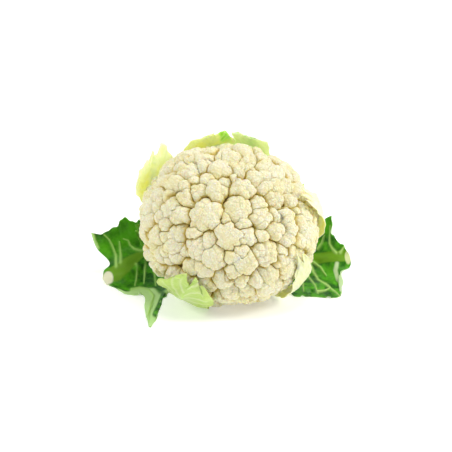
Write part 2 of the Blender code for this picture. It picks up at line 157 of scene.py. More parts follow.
def soft_noise(points: Array, size: float, seed: int) -> Array:
    """Smooth random values, about -1 to 1, from a sum of waves in many directions.

    Args:
        points: Places, in millimetres.
        size: The usual width of one swell.
        seed: Picks the pattern.

    Returns:
        One value for each point.
    """
    random = np.random.default_rng(seed)
    total = np.zeros(points.shape[:-1])
    for direction in unit(random.normal(size=(9, 3))):
        pitch = size * random.uniform(1.4, 2.8)
        total += np.sin(points @ direction * (2 * math.pi / pitch) + random.uniform(0, 7))
    return total / 3.2


def pebbles(points: Array, size: float, seed: int) -> Array:
    """How far each point is from the edge of its pebble, in pebbles of a size.

    Args:
        points: Places, in millimetres.
        size: How far apart the pebbles are.
        seed: Picks the pattern.

    Returns:
        The second nearest pebble's distance less the nearest's, in sizes.
    """
    scaled = points / size
    corner = np.floor(scaled)
    nearest = np.full(len(points), 9.0)
    second = nearest.copy()
    for shift in np.ndindex(3, 3, 3):
        cell = corner + np.array(shift) - 1
        noise = np.sin(cell @ np.array([
            [127.1, 269.5, 113.5], [311.7, 183.3, 271.9], [74.7, 246.1, 124.6],
        ]) + seed) * 43758.5453
        away = np.linalg.norm(cell + 0.5 + 0.8 * (noise - np.floor(noise) - 0.5) - scaled, axis=1)
        second = np.minimum(second, np.maximum(nearest, away))
        nearest = np.minimum(nearest, away)
    return second - nearest


def sides_of(quads: Array) -> Array:
    """The sides of square faces, each as its start and end."""
    return np.vstack([quads[:, [k, (k + 1) % 4]] for k in range(4)])


def open_sides(quads: Array) -> Array:
    """The sides that no second face of these shares.

    Args:
        quads: Square faces.

    Returns:
        One row for each open side, its start and end.
    """
    sides = sides_of(quads).astype(np.int64)
    size = sides.max() + 1
    return sides[~np.isin(sides @ [size, 1], sides @ [1, size])]


class Slot(Enum):
    """The record's material slots."""

    CURD = "curd"
    STEM = "stem"
    YOUNG_LEAF = "young_leaf"
    OUTER_LEAF = "outer_leaf"


@dataclass(frozen=True)
class Head:
    """The head's place, tilt and outline, and how the photograph sees it."""

    mm_per_pixel: float = 0.882
    heart_pixel: tuple[float, float] = (229.0, 225.0)
    view_elevation: float = math.radians(22)
    crown_rise: float = math.radians(52)
    crown_lean: float = math.radians(10)
    flattening: float = 0.93
    rest_sink: float = 2.2
    outline: tuple[Spot, ...] = (
        (0, 61), (20, 63), (40, 68.5), (60, 76), (75, 80.5), (90, 82.5), (104, 80.5),
        (118, 75), (132, 68), (147, 62), (158, 58.5), (180, 56),
    )

    @property
    def towards_viewer(self) -> Array:
        """Unit vector from the head to the camera."""
        return np.array([0.0, -math.cos(self.view_elevation), math.sin(self.view_elevation)])

    @property
    def axes(self) -> Array:
        """Rows: the across, back and crown axes in world directions."""
        upright = np.array([
            [1.0, 0.0, 0.0],
            [0.0, math.sin(self.crown_rise), math.cos(self.crown_rise)],
            [0.0, -math.cos(self.crown_rise), math.sin(self.crown_rise)],
        ])
        return np.array([turned(row, self.towards_viewer, -self.crown_lean) for row in upright])

    def reach(self, directions: Array) -> Array:
        """Distance from the heart to the curd's outline along unit directions.

        Args:
            directions: Unit directions, of any shape.

        Returns:
            One distance for each.
        """
        round_ones = directions / (1.0, self.flattening, 1.0)
        size = np.linalg.norm(round_ones, axis=-1)
        polar = np.degrees(np.arccos(np.clip(round_ones[..., 2] / size, -1, 1)))
        angles, reach = zip(*self.outline)
        return smooth_through(angles, reach, polar)[..., 0] / size

    def resting_place(self) -> tuple[Array, Array]:
        """The outline's lowest direction, and the heart's place over the table.

        Returns:
            The direction in head axes, and the heart in world millimetres.
        """
        directions = even_directions(20000)
        points = (directions * self.reach(directions)[:, None]) @ self.axes
        lowest = points[:, 2].argmin()
        heart = -points[lowest]
        heart[2] -= self.rest_sink
        return directions[lowest], heart

    def seen_direction(self, across: float, down: float) -> Array:
        """Head direction of the place on the curd that the photograph shows at a pixel.

        Args:
            across: Pixels across the photograph.
            down: Pixels down it.

        Returns:
            The unit direction.
        """
        right = (across - self.heart_pixel[0]) * self.mm_per_pixel
        up = (self.heart_pixel[1] - down) * self.mm_per_pixel
        sine, cosine = math.sin(self.view_elevation), math.cos(self.view_elevation)
        near = np.linspace(110, -30, 561)[:, None]
        points = right * np.array([1.0, 0, 0]) + up * np.array([0, sine, cosine])
        points = (points + near * np.array([0, -cosine, sine])) @ self.axes.T
        outside = np.linalg.norm(points, axis=1) - self.reach(unit(points))
        crossed = np.nonzero(outside <= 0)[0]
        return unit(points[crossed[0] if len(crossed) else outside.argmin()])


HEAD = Head()
AXES = HEAD.axes
REST_DIRECTION, HEART = HEAD.resting_place()


def to_world(points: Array) -> Array:
    """Head points placed over the table."""
    return points @ AXES + HEART


def seen_points(net: Array) -> Array:
    """World points of (pixels across, pixels down, millimetres behind the heart).

    Args:
        net: The triples, in its last axis.

    Returns:
        World points, in millimetres.
    """
    right = (net[..., 0] - HEAD.heart_pixel[0]) * HEAD.mm_per_pixel
    up = (HEAD.heart_pixel[1] - net[..., 1]) * HEAD.mm_per_pixel
    back = net[..., 2]
    height = (up - back * math.sin(HEAD.view_elevation)) / math.cos(HEAD.view_elevation)
    return np.stack([right, back, height], axis=-1) + HEART


def deselect() -> None:
    """Leave nothing selected."""
    bpy.ops.object.select_all(action="DESELECT")


def mesh_object(name: str, points: Array, faces: Array) -> Piece:
    """A closed mesh object from world millimetres and triangles, turned to face outwards.

    Args:
        name: The piece's name.
        points: One row for each vertex.
        faces: One row of vertex numbers for each triangle.

    Returns:
        The new object, at the origin.
    """
    a, b, c = (points[faces[:, k]] for k in range(3))
    if np.einsum("ij,ij->", a, np.cross(b, c)) < 0:
        faces = faces[:, ::-1]
    faces = np.asarray(faces, np.int32)
    mesh = bpy.data.meshes.new(name)
    mesh.vertices.add(len(points))
    mesh.vertices.foreach_set("co", (points * MM).astype(np.float32).ravel())
    mesh.loops.add(faces.size)
    mesh.loops.foreach_set("vertex_index", faces.ravel())
    mesh.polygons.add(len(faces))
    mesh.polygons.foreach_set("loop_start", np.arange(0, faces.size, 3, dtype=np.int32))
    mesh.update(calc_edges=True)
    mesh.validate()
    mesh.shade_smooth()
    made = bpy.data.objects.new(name, mesh)
    bpy.context.scene.collection.objects.link(made)
    return made


def store(mesh: bpy.types.Mesh, name: str, values: Array) -> None:
    """Keep one number a vertex on a mesh, for its finish to read.

    Args:
        mesh: The mesh.
        name: What the number is called.
        values: One for each vertex.
    """
    layer = mesh.attributes.new(name, "FLOAT", "POINT")
    layer.data.foreach_set("value", np.asarray(values, np.float32).ravel())


def hand_over(piece: Piece, node: str, material: bpy.types.Material) -> None:
    """Give a piece its finish, and let it ride on the body and stand for its solid.

    Args:
        piece: The piece.
        node: The solid that it stands for.
        material: Its finish.
    """
    piece.data.materials.append(material)
    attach(piece, "root")
    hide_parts(node)


def paint(colour: Colour) -> Colour:
    """A screen colour, 0 to 255, as linear light."""
    return tuple(
        c / 12.92 if c <= 0.04045 else ((c + 0.055) / 1.055) ** 2.4
        for c in (part / 255 for part in colour)
    )


class NodePatch:
    """A short way to lay out a material's nodes."""

    def __init__(self, name: str) -> None:
        """Start a material that holds one Principled shader.

        Args:
            name: What the material is called.
        """
        self.material = bpy.data.materials.new(name)
        self.material.use_nodes = True
        self.tree = self.material.node_tree
        self.shader = self.tree.nodes["Principled BSDF"]
        self.places = self.tree.nodes.new("ShaderNodeTexCoord").outputs["Object"]

    def link(self, start: Socket, end: Socket) -> None:
        """Join two sockets."""
        self.tree.links.new(start, end)

    def attribute(self, name: str) -> Socket:
        """A number that the mesh keeps for each vertex.

        Args:
            name: What the number is called.

        Returns:
            The number.
        """
        node = self.tree.nodes.new("ShaderNodeAttribute")
        node.attribute_name = name
        return node.outputs["Fac"]

    def reach(self) -> Socket:
        """Distance from the object's origin, in metres.

        Returns:
            The distance.
        """
        node = self.tree.nodes.new("ShaderNodeVectorMath")
        node.operation = "LENGTH"
        self.link(self.places, node.inputs[0])
        return node.outputs["Value"]

    def noise(self, size_mm: float, detail: float = 3.0, rough: float = 0.55) -> Socket:
        """Cloudy noise whose swells are about a size across.

        Args:
            size_mm: How wide a swell is.
            detail: How many finer layers it has.
            rough: How strong they are.

        Returns:
            The noise, about 0 to 1.
        """
        node = self.tree.nodes.new("ShaderNodeTexNoise")
        node.inputs["Scale"].default_value = 1.0 / (size_mm * MM)
        node.inputs["Detail"].default_value = detail
        node.inputs["Roughness"].default_value = rough
        self.link(self.places, node.inputs["Vector"])
        return node.outputs["Fac"]

    def cells(self, size_mm: float) -> Socket:
        """Distance to the nearest grain centre, for grains of a size.

        Args:
            size_mm: How far apart the grains are.

        Returns:
            The distance, in grain sizes.
        """
        node = self.tree.nodes.new("ShaderNodeTexVoronoi")
        node.inputs["Scale"].default_value = 1.0 / (size_mm * MM)
        self.link(self.places, node.inputs["Vector"])
        return node.outputs["Distance"]

    def between(self, value: Socket, low: float, high: float, to_low: float = 0.0,
                to_high: float = 1.0) -> Socket:
        """A value's range, stretched to another range and kept inside it.

        Args:
            value: The value.
            low: Where its range starts.
            high: Where its range ends.
            to_low: What the start becomes.
            to_high: What the end becomes.

        Returns:
            The stretched value.
        """
        node = self.tree.nodes.new("ShaderNodeMapRange")
        node.interpolation_type = "SMOOTHSTEP"
        self.link(value, node.inputs["Value"])
        names = ("From Min", "From Max", "To Min", "To Max")
        for name, number in zip(names, (low, high, to_low, to_high)):
            node.inputs[name].default_value = number
        return node.outputs["Result"]

    def sum(self, first: Socket, second: Socket | float,
            operation: str = "ADD") -> Socket:
        """Two values joined by one step of arithmetic.

        Args:
            first: The first value.
            second: The second value.
            operation: The arithmetic.

        Returns:
            The result.
        """
        node = self.tree.nodes.new("ShaderNodeMath")
        node.operation = operation
        self.link(first, node.inputs[0])
        if isinstance(second, float):
            node.inputs[1].default_value = second
        else:
            self.link(second, node.inputs[1])
        return node.outputs[0]

    def blend(self, share: Socket, first: Socket | Colour,
              second: Socket | Colour) -> Socket:
        """Two colours mixed by a share.

        Args:
            share: How much of the second colour there is.
            first: A colour, or a screen colour.
            second: The same.

        Returns:
            The mixed colour.
        """
        node = self.tree.nodes.new("ShaderNodeMix")
        node.data_type = "RGBA"
        self.link(share, node.inputs[0])
        for socket, colour in ((node.inputs[6], first), (node.inputs[7], second)):
            if isinstance(colour, tuple):
                socket.default_value = (*paint(colour), 1.0)
            else:
                self.link(colour, socket)
        return node.outputs[2]

    def relief(self, height: Socket, depth_mm: float, strength: float = 1.0) -> None:
        """Bump from a height, ahead of any bump that is there.

        Args:
            height: The height.
            depth_mm: How much a height of 1 is.
            strength: How strong the bump is.
        """
        node = self.tree.nodes.new("ShaderNodeBump")
        node.inputs["Strength"].default_value = strength
        node.inputs["Distance"].default_value = depth_mm * MM
        self.link(height, node.inputs["Height"])
        self.link(node.outputs["Normal"], self.shader.inputs["Normal"])

    def settle(self, **numbers: float | tuple[float, ...]) -> None:
        """Set the shader's own sockets, named with underscores for spaces.

        Args:
            numbers: A value for each socket.
        """
        for name, number in numbers.items():
            self.shader.inputs[name.replace("_", " ")].default_value = number


@dataclass(frozen=True)
class CurdFinish:
    """Creamy white, granular; painted shade: ochre in creases and between grains, brown in the
    deepest gaps.
    """

    cream: Colour = (249, 246, 220)
    warm: Colour = (246, 239, 190)
    ochre: Colour = (216, 193, 94)
    brown: Colour = (126, 98, 22)
    stalk: Colour = (226, 232, 186)

    def make(self) -> bpy.types.Material:
        """The finish as a node material.

        Returns:
            The material.
        """
        patch = NodePatch("curd_flesh")
        mottle = patch.between(patch.noise(16.0, 2.0), 0.38, 0.68)
        grain = patch.noise(1.3, 2.0)
        base = patch.blend(patch.sum(mottle, 0.75, "MULTIPLY"), self.cream, self.warm)
        crease_shade = patch.sum(patch.attribute("crease_shade"), patch.sum(grain, 0.16, "MULTIPLY"))
        # Painted shade: ochre between the grains, where their edges dip.
        grain_line_shade = patch.between(patch.cells(1.9), 0.3, 0.62, 0.0, 0.26)
        base = patch.blend(grain_line_shade, base, self.ochre)
        # Painted shade: ochre in the creases between florets and knobs.
        base = patch.blend(patch.between(crease_shade, 0.15, 0.85, 0.0, 0.9), base, self.ochre)
        # Painted shade: brown in the deepest gaps.
        base = patch.blend(patch.between(patch.attribute("gap"), 0.25, 1.0), base, self.brown)
        base = patch.blend(patch.attribute("stalk"), base, self.stalk)
        patch.link(base, patch.shader.inputs["Base Color"])
        grains = patch.sum(patch.sum(patch.cells(1.9), -1.6, "MULTIPLY"), patch.noise(0.5, 2.0))
        patch.relief(grains, 0.7, 0.75)
        patch.settle(Roughness=0.6, Subsurface_Weight=0.5, Subsurface_Scale=0.0028,
                     Subsurface_Radius=(1.0, 0.78, 0.36), Specular_IOR_Level=0.34)
        return patch.material


@dataclass(frozen=True)
class LeafFinish:
    """Leaf tissue: paler and whiter at the foot, with pale ribs, a deeper blade and a painted glow.
    """

    name: str
    blade: Colour
    light: Colour
    foot: Colour
    vein: Colour
    back: Colour
    rib: Colour = (188, 188, 149)
    gloss: float = 0.42
    glow: float = 0.12
    grain: float = 0.35
    shine: float = 0.4
    emission_glow: float = 0.0

    def make(self) -> bpy.types.Material:
        """The finish as a node material.

        Returns:
            The material.
        """
        patch = NodePatch(self.name)
        clouds = patch.between(patch.noise(11.0, 3.0), 0.35, 0.7)
        base = patch.blend(clouds, self.blade, self.light)
        # Lighter where the young mark is high: the young leaves' own paler tint, and painted light
        # and painted shade on the outer leaves.
        base = patch.blend(patch.attribute("young"), base, self.light)
        base = patch.blend(patch.attribute("back"), base, self.back)
        fine = patch.between(patch.cells(2.6), 0.3, 0.66, 0.0, 0.3 * self.grain)
        base = patch.blend(fine, base, self.vein)
        base = patch.blend(patch.attribute("rib"), base, self.rib)
        base = patch.blend(patch.attribute("vein"), base, self.vein)
        base = patch.blend(patch.attribute("foot"), base, self.foot)
        patch.link(base, patch.shader.inputs["Base Color"])
        # Painted glow: the leaf's own colour is emitted as light, though the leaf is no lamp.
        patch.link(base, patch.shader.inputs["Emission Color"])
        patch.relief(patch.sum(patch.cells(2.4), patch.noise(0.8, 3.0)), 0.35, self.grain)
        patch.settle(Roughness=self.gloss, Subsurface_Weight=self.glow, Subsurface_Scale=0.004,
                     Subsurface_Radius=(0.9, 1.0, 0.4), Specular_IOR_Level=self.shine,
                     Emission_Strength=self.emission_glow)
        return patch.material


@dataclass(frozen=True)
class StemFinish:
    """Pale fibrous stem: green-white skin, a cream cut face with a woody ring."""

    skin: Colour = (214, 224, 170)
    cut: Colour = (236, 234, 204)
    ring: Colour = (198, 200, 140)
    scar: Colour = (176, 150, 96)

    def make(self) -> bpy.types.Material:
        """The finish as a node material.

        Returns:
            The material.
        """
        patch = NodePatch("stem_flesh")
        fibres = patch.noise(1.1, 4.0, 0.7)
        skin = patch.blend(patch.between(fibres, 0.4, 0.7), self.skin, self.ring)
        cut = patch.blend(patch.attribute("ring"), self.cut, self.ring)
        scars = patch.between(patch.noise(5.0, 4.0), 0.56, 0.72, 0.0, 0.6)
        cut = patch.blend(scars, cut, self.scar)
        base = patch.blend(patch.attribute("cut"), skin, cut)
        patch.link(base, patch.shader.inputs["Base Color"])
        patch.relief(fibres, 0.3, 0.6)
        patch.settle(Roughness=0.6, Subsurface_Weight=0.15, Subsurface_Scale=0.002,
                     Subsurface_Radius=(1.0, 0.9, 0.5), Specular_IOR_Level=0.35)
        return patch.material


@dataclass
class Florets:
    """Where the curd's florets sit: the resting one, those of the face, then a fill."""

    seed: int = 11
    rest_width: float = 26.0
    limit: float = 126.0
    fill_widths: tuple[Spot, ...] = (
        (15.0, 20.0, 0.47), (10.0, 13.0, 0.46), (7.5, 9.5, 0.47),
    )
    face: tuple[Spot, ...] = (
        (204, 214, 34), (216, 188, 19), (219, 167, 21), (205, 176, 13), (203, 153, 20),
        (230, 153, 18), (238, 167, 15), (196, 189, 14), (186, 169, 20), (172, 182, 18),
        (184, 187, 11), (183, 197, 14), (169, 207, 20), (178, 216, 18), (155, 193, 13),
        (147, 206, 18), (144, 223, 14), (156, 216, 11), (176, 232, 16), (171, 247, 17),
        (175, 260, 13), (162, 226, 12), (163, 237, 9), (152, 235, 14), (148, 248, 13),
        (157, 259, 14), (191, 233, 12), (195, 249, 21), (214, 258, 22), (189, 270, 15),
        (203, 272, 15), (229, 236, 27), (207, 241, 12), (221, 281, 17), (246, 265, 22),
        (231, 257, 13), (231, 274, 15), (249, 238, 17), (243, 224, 11), (261, 236, 11),
        (263, 216, 20), (260, 201, 15), (238, 208, 26), (244, 187, 25), (254, 174, 13),
        (265, 165, 17), (251, 159, 12), (279, 166, 17), (268, 188, 11), (278, 198, 17),
        (291, 184, 16), (276, 213, 11), (278, 232, 15), (267, 254, 25), (290, 215, 17),
        (296, 199, 12), (291, 240, 13), (312, 231, 20), (301, 243, 12), (304, 222, 11),
        (285, 251, 10), (271, 275, 17), (289, 271, 19), (256, 282, 12), (247, 293, 17),
        (266, 290, 18), (230, 295, 17), (243, 303, 12),
    )

    def layout(self) -> tuple[Array, Array]:
        """Unit directions and widths of all florets.

        Returns:
            One row and one width in millimetres for each floret.
        """
        places = [REST_DIRECTION]
        widths = [self.rest_width]
        for across, down, width in self.face:
            places.append(HEAD.seen_direction(across, down))
            widths.append(width * HEAD.mm_per_pixel)
        random = np.random.default_rng(self.seed)
        for narrow, wide, closeness in self.fill_widths:
            for spot in random.permutation(even_directions(3000)):
                width = random.uniform(narrow, wide)
                polar = math.degrees(math.acos(np.clip(spot[2], -1, 1)))
                if polar > self.limit - math.degrees(width / 2 / 75):
                    continue
                apart = np.arccos(np.clip(np.array(places) @ spot, -1, 1)) * HEAD.reach(spot)
                if (apart > closeness * (np.array(widths) + width)).all():
                    places.append(spot)
                    widths.append(width)
        return np.array(places), np.array(widths)


@dataclass
class Floret:
    """One floret: where it is, how proud it stands, and the knobs on it."""

    axis: Array
    width: float
    sunk: float
    slope: Array
    knobs: Array
    pitch: float
    relief: float
    cluster: int


@dataclass
class Nearness:
    """For each point of the outline: its floret, the next one, and how far off edges are."""

    own: Array
    other: Array
    knob_edge: Array
    floret_edge: Array
    off: Array


def trait(florets: list[Floret], name: str) -> Array:
    """One trait of all the florets."""
    return np.array([getattr(floret, name) for floret in florets])


def cushion(share: Array) -> Array:
    """A quarter circle's rise from 0 to 1."""
    return np.sqrt(1 - (1 - np.clip(share, 0, 1)) ** 2)


@dataclass
class Curd:
    """The curd: cobbled florets of smaller knobs on short branches, grown as one piece."""

    florets: Florets = field(default_factory=Florets)
    finish: CurdFinish = field(default_factory=CurdFinish)
    cells: int = 216
    knob_pitch: tuple[float, float] = (4.6, 6.8)
    knob_relief: tuple[float, float] = (0.9, 2.3)
    unevenness: float = 1.6
    clusters: tuple[Spot, ...] = (
        (192, 165), (221, 166), (237, 158), (274, 178), (176, 186), (214, 187), (241, 185),
        (204, 214), (238, 209), (170, 211), (146, 208), (162, 244), (228, 236), (206, 263),
        (262, 222), (289, 226), (311, 236), (245, 263), (268, 253), (236, 292), (263, 288),
        (288, 271),
    )
    gaps: tuple[Spot, ...] = (
        (224, 186, 3.2, 3.0), (221, 196, 3.0, 2.5), (204, 189, 2.4, 2.0), (187, 205, 3.0, 2.5),
        (162, 188, 3.4, 3.0), (223, 218, 3.4, 2.0), (188, 222, 2.4, 2.2), (176, 268, 5.0, 3.0),
        (243, 281, 3.6, 2.5), (273, 264, 3.2, 2.5), (252, 245, 3.6, 2.0), (219, 246, 2.6, 2.0),
    )
    proud: tuple[Spot, ...] = (
        (312, 234, 18, 0.6), (238, 209, 13, 0.3), (204, 214, 16, 0.3), (146, 210, 18, 0.4),
        (290, 262, 14, 0.3), (206, 263, 14, 0.25),
    )
    tilt: float = 0.11
    doming: float = 0.5
    hill: float = 0.008
    hill_reach: float = 24.0
    rise: float = 3.3
    beyond: float = 0.8
    lip: float = 0.8
    deepest: float = 10.0
    grain_pitch: float = 2.5
    grain_relief: float = 0.55
    crown_limit: float = 44.0
    stem_join: float = -54.0
    branch_count: int = 13
    branch_relief: float = 3.4
    neighbours: int = 8
    batch: int = 8000

    def cluster_places(self) -> Array:
        """Directions of the groups of florets: those in the photograph, then an even fill.

        Returns:
            Unit directions.
        """
        seen = np.array([HEAD.seen_direction(*spot) for spot in self.clusters])
        fill = even_directions(34)
        return np.vstack([seen, fill[(fill @ seen.T).max(1) < math.cos(math.radians(25))]])

    def on_outline(self, directions: Array) -> Array:
        """Points of the outline along directions."""
        return directions * HEAD.reach(directions)[..., None]

    def near_spot(self, outline: Array, across: float, down: float, size: float) -> Array:
        """How near points are to one in the photograph: 1 there, nothing two sizes away.

        Args:
            outline: Points of the outline.
            across: Pixels across.
            down: Pixels down.
            size: A size in pixels.

        Returns:
            One value for each point.
        """
        spot = self.on_outline(HEAD.seen_direction(across, down))
        return bell(np.linalg.norm(outline - spot, axis=1) / (size * HEAD.mm_per_pixel))

    def grown(self) -> list[Floret]:
        """All florets, each with its knobs in a spiral, as in a real head.

        Returns:
            The florets, the resting one first.
        """
        places, widths = self.florets.layout()
        random = np.random.default_rng(self.florets.seed + 2)
        clusters = (places @ self.cluster_places().T).argmax(1)
        low = random.uniform(0, 1, clusters.max() + 1) * self.unevenness
        tilts = random.normal(0, self.tilt, (clusters.max() + 1, 2))
        grown = []
        for place, width, cluster in zip(places, widths, clusters):
            helper = np.array([1.0, 0, 0]) if abs(place[0]) < 0.8 else np.array([0, 1.0, 0])
            first = unit(np.cross(place, helper))
            second = np.cross(place, first)
            pitch = random.uniform(*self.knob_pitch) * (0.72 + 0.28 * min(width / 20, 1.3))
            count = max(int(0.86 * (width / pitch) ** 2), 1)
            k = np.arange(count)
            out = width / 2 * 0.95 * np.sqrt((k + 0.45) / count) if count > 1 else np.zeros(1)
            out = out + random.uniform(-0.12, 0.12, count) * pitch
            turn = golden_turns(k) + random.uniform(-0.2, 0.2, count)
            turn = turn + random.uniform(0, 7)
            flat = first * (out * np.cos(turn))[:, None] + second * (out * np.sin(turn))[:, None]
            knobs = self.on_outline(unit(place * HEAD.reach(place) + flat))
            sunk = low[cluster] + random.uniform(0, 0.9) + 1.2 * (width < 9.5)
            across, up = tilts[cluster] + random.normal(0, 0.5 * self.tilt, 2)
            slope = first * across + second * up
            relief = random.uniform(*self.knob_relief) * min(pitch / 5, 1.15)
            grown.append(Floret(place, width, sunk, slope, knobs, pitch, relief, int(cluster)))
        return grown

    def directions(self) -> tuple[Array, Array]:
        """A ball of even square faces: unit directions, and the faces' corners facing out.

        Returns:
            Unit directions, and four corners for each face.
        """
        n = self.cells
        i, j = np.meshgrid(np.arange(n + 1), np.arange(n + 1), indexing="ij")
        corners = []
        for axis in range(3):
            for end in (0, n):
                grid = np.stack([np.full_like(i, end), i, j], axis=-1)
                code = np.roll(grid, axis, axis=-1) @ np.array([(n + 1) ** 2, n + 1, 1])
                quad = np.stack([
                    code[:-1, :-1], code[1:, :-1], code[1:, 1:], code[:-1, 1:],
                ], axis=-1).reshape(-1, 4)
                corners.append(quad if end else quad[:, ::-1])
        codes, faces = np.unique(np.vstack(corners), return_inverse=True)
        faces = faces.reshape(-1, 4)
        place = np.stack(np.unravel_index(codes, (n + 1,) * 3), axis=1)
        return unit(np.tan((2 * place / n - 1) * math.pi / 4)), faces

    def nearest(self, points: Array, grown: list[Floret]) -> Nearness:
        """Find each point's floret, and how far it is from the edges of its knob and floret.

        Args:
            points: Points of the outline.
            grown: The florets.

        Returns:
            What is near each point.
        """
        most = max(len(f.knobs) for f in grown)
        knobs = np.full((len(grown), most, 3), 10 * FAR, np.float32)
        for k, floret in enumerate(grown):
            knobs[k, : len(floret.knobs)] = floret.knobs
        middles = self.on_outline(trait(grown, "axis")).astype(np.float32)
        half = trait(grown, "width") / 2
        count = len(points)
        near = Nearness(np.empty(count, int), np.empty(count, int), *np.empty((3, count)))
        for start in range(0, count, self.batch):
            part = slice(start, start + self.batch)
            here = points[part].astype(np.float32)
            away = np.linalg.norm(here[:, None] - middles[None], axis=2) - half
            close = np.argpartition(away, self.neighbours, axis=1)[:, : self.neighbours]
            around = knobs[close].reshape(len(here), -1, 3)
            square = ((around - here[:, None]) ** 2).sum(2)
            row = np.arange(len(here))
            first = square.argmin(1)
            own = close[row, first // most]
            span = np.linalg.norm(around - around[row, first][:, None], axis=2)
            edge = (square - square[row, first][:, None]) / np.maximum(2 * span, 1e-6)
            edge[row, first] = FAR
            same = np.repeat(close == own[:, None], most, axis=1)
            outside = np.where(same, FAR, edge)
            near.own[part] = own
            near.other[part] = close[row, outside.argmin(1) // most]
            near.knob_edge[part] = np.where(same, edge, FAR).min(1)
            near.floret_edge[part] = outside.min(1)
            near.off[part] = np.sqrt(square[row, first])
        return near

    def branches(self, directions: Array) -> Array:
        """How far the forked branches under the florets stand out, in millimetres.

        Args:
            directions: Unit directions.

        Returns:
            One height for each.
        """
        turn = np.arctan2(directions[:, 1], directions[:, 0])
        wave = turn * self.branch_count + 1.1 * np.sin(3 * turn + 0.6)
        trunk = np.abs(np.cos(wave / 2)) ** 0.6
        fork = np.abs(np.cos(wave)) ** 0.6
        share = ramp(-from_crown(directions), -142, -126)
        return self.branch_relief * (trunk * (1 - share) + fork * share)

    def tops(self, outline: Array, near: Nearness, grown: list[Floret]) -> Array:
        """How far the knobs lie under the highest skin, before there are creases.

        Args:
            outline: Points of the outline.
            near: What is near each point.
            grown: The florets.

        Returns:
            One depth for each point.
        """
        own = near.own
        width, pitch = trait(grown, "width")[own], trait(grown, "pitch")[own]
        out = outline - self.on_outline(trait(grown, "axis"))[own]
        lean = np.clip((out * trait(grown, "slope")[own]).sum(1), -1.0, 1.8)
        away = np.linalg.norm(out, axis=1)
        top = trait(grown, "sunk")[own] + lean
        top = top + self.doming * np.minimum(away**2, (0.75 * width) ** 2) / width
        centre = self.on_outline(self.cluster_places())[trait(grown, "cluster")[own]]
        far = np.linalg.norm(outline - centre, axis=1)
        top = top + self.hill * np.minimum(far, self.hill_reach) ** 2
        knob = 0.5 * (1 - cushion(near.knob_edge / (0.5 * pitch)))
        knob = knob + 0.5 * np.clip((near.off / (0.55 * pitch)) ** 2, 0, 1.3)
        return top + trait(grown, "relief")[own] * knob

    def creased(self, top: Array, near: Nearness, grown: list[Floret], together: Array) -> Array:
        """The skin with its creases: shallow inside a group of florets, deep between groups.

        Args:
            top: How far the knobs lie under the highest skin.
            near: What is near each point.
            grown: The florets.
            together: Whether a point's floret and the next one are of one group.

        Returns:
            How far each point lies under the highest skin.
        """
        own, other, sunk = near.own, near.other, trait(grown, "sunk")
        pair = np.sin((own + other) * 12.9898 + own * other * 0.173)
        deep = np.where(together, 0.5 + 0.5 * pair, 2.0 + 0.9 * pair)
        bottom = top + np.clip(0.35 * (sunk[other] - sunk[own]), 0, 1) + deep
        shoulder = np.clip(0.2 * trait(grown, "width")[own], 2.2, 4.5)
        side = cushion(near.floret_edge / np.where(together, 1.9, shoulder))
        return top + (np.maximum(bottom, top + 0.8) - top) * (1 - side)

    def gapped_and_gap_shaded(self, drop: Array, outline: Array, near: Nearness,
                  grown: list[Floret]) -> tuple[Array, Array]:
        """The skin with the photograph's gaps and proud florets, and its grain.

        Args:
            drop: How far each point lies under the highest skin.
            outline: The points of the outline.
            near: What is near each point.
            grown: The florets.

        Returns:
            How far each point lies under the outline, and how much painted brown shade it gets.
        """
        edge = near.floret_edge
        brown = np.zeros(len(outline))
        for across, down, size, deeper in self.gaps:
            here = self.near_spot(outline, across, down, size)
            # Painted shade: the listed gaps are browned near floret edges.
            brown = brown + here * ramp(-edge, -2.6, -0.6)
            drop = drop + deeper * here * ramp(-edge, -3.0, 0.0)
        hole = np.clip(near.off - 0.72 * trait(grown, "pitch")[near.own], 0, 5)
        drop = drop + 0.8 * hole - self.rise + self.beyond
        drop = np.minimum(0.5 * (drop + np.hypot(drop, 0.8)) - self.beyond, self.deepest)
        for across, down, size, share in self.proud:
            here = self.near_spot(outline, across, down, size)
            drop = np.where(drop > 0, drop * (1 - share * here), drop)
        grain = pebbles(outline, self.grain_pitch, 31)
        drop = drop + self.grain_relief * (1 - cushion(grain / 0.5))
        return np.maximum(drop + soft_noise(outline, 4.6, 32) * 0.25, -self.beyond), brown

    def skin(self) -> tuple[Array, Array, Array, dict[str, Array]]:
        """The curd's whole surface.

        Returns:
            World points, square faces, each face's floret, and the marks its finish reads.
        """
        directions, faces = self.directions()
        outline = self.on_outline(directions)
        grown = self.grown()
        near = self.nearest(outline, grown)
        cluster = trait(grown, "cluster")
        together = cluster[near.own] == cluster[near.other]
        drop = self.creased(self.tops(outline, near, grown), near, grown, together)
        drop, brown = self.gapped_and_gap_shaded(drop, outline, near, grown)

        ragged = from_crown(directions) + 2.4 * np.sin(near.own * 2.3)
        under = ramp(ragged, self.florets.limit - 8, self.florets.limit - 2)
        drop = drop * (1 - under) + (6.6 - self.branches(directions)) * under
        edge = near.floret_edge
        push = np.minimum(0.7 * edge, self.lip) * bell(edge / 3.4) * (1 - under)
        out = outline - self.on_outline(trait(grown, "axis"))[near.own]
        sideways = out - directions * (out * directions).sum(1)[:, None]
        points = outline - directions * drop[:, None] + unit(sideways) * push[:, None]
        points = self.settled(points, faces)

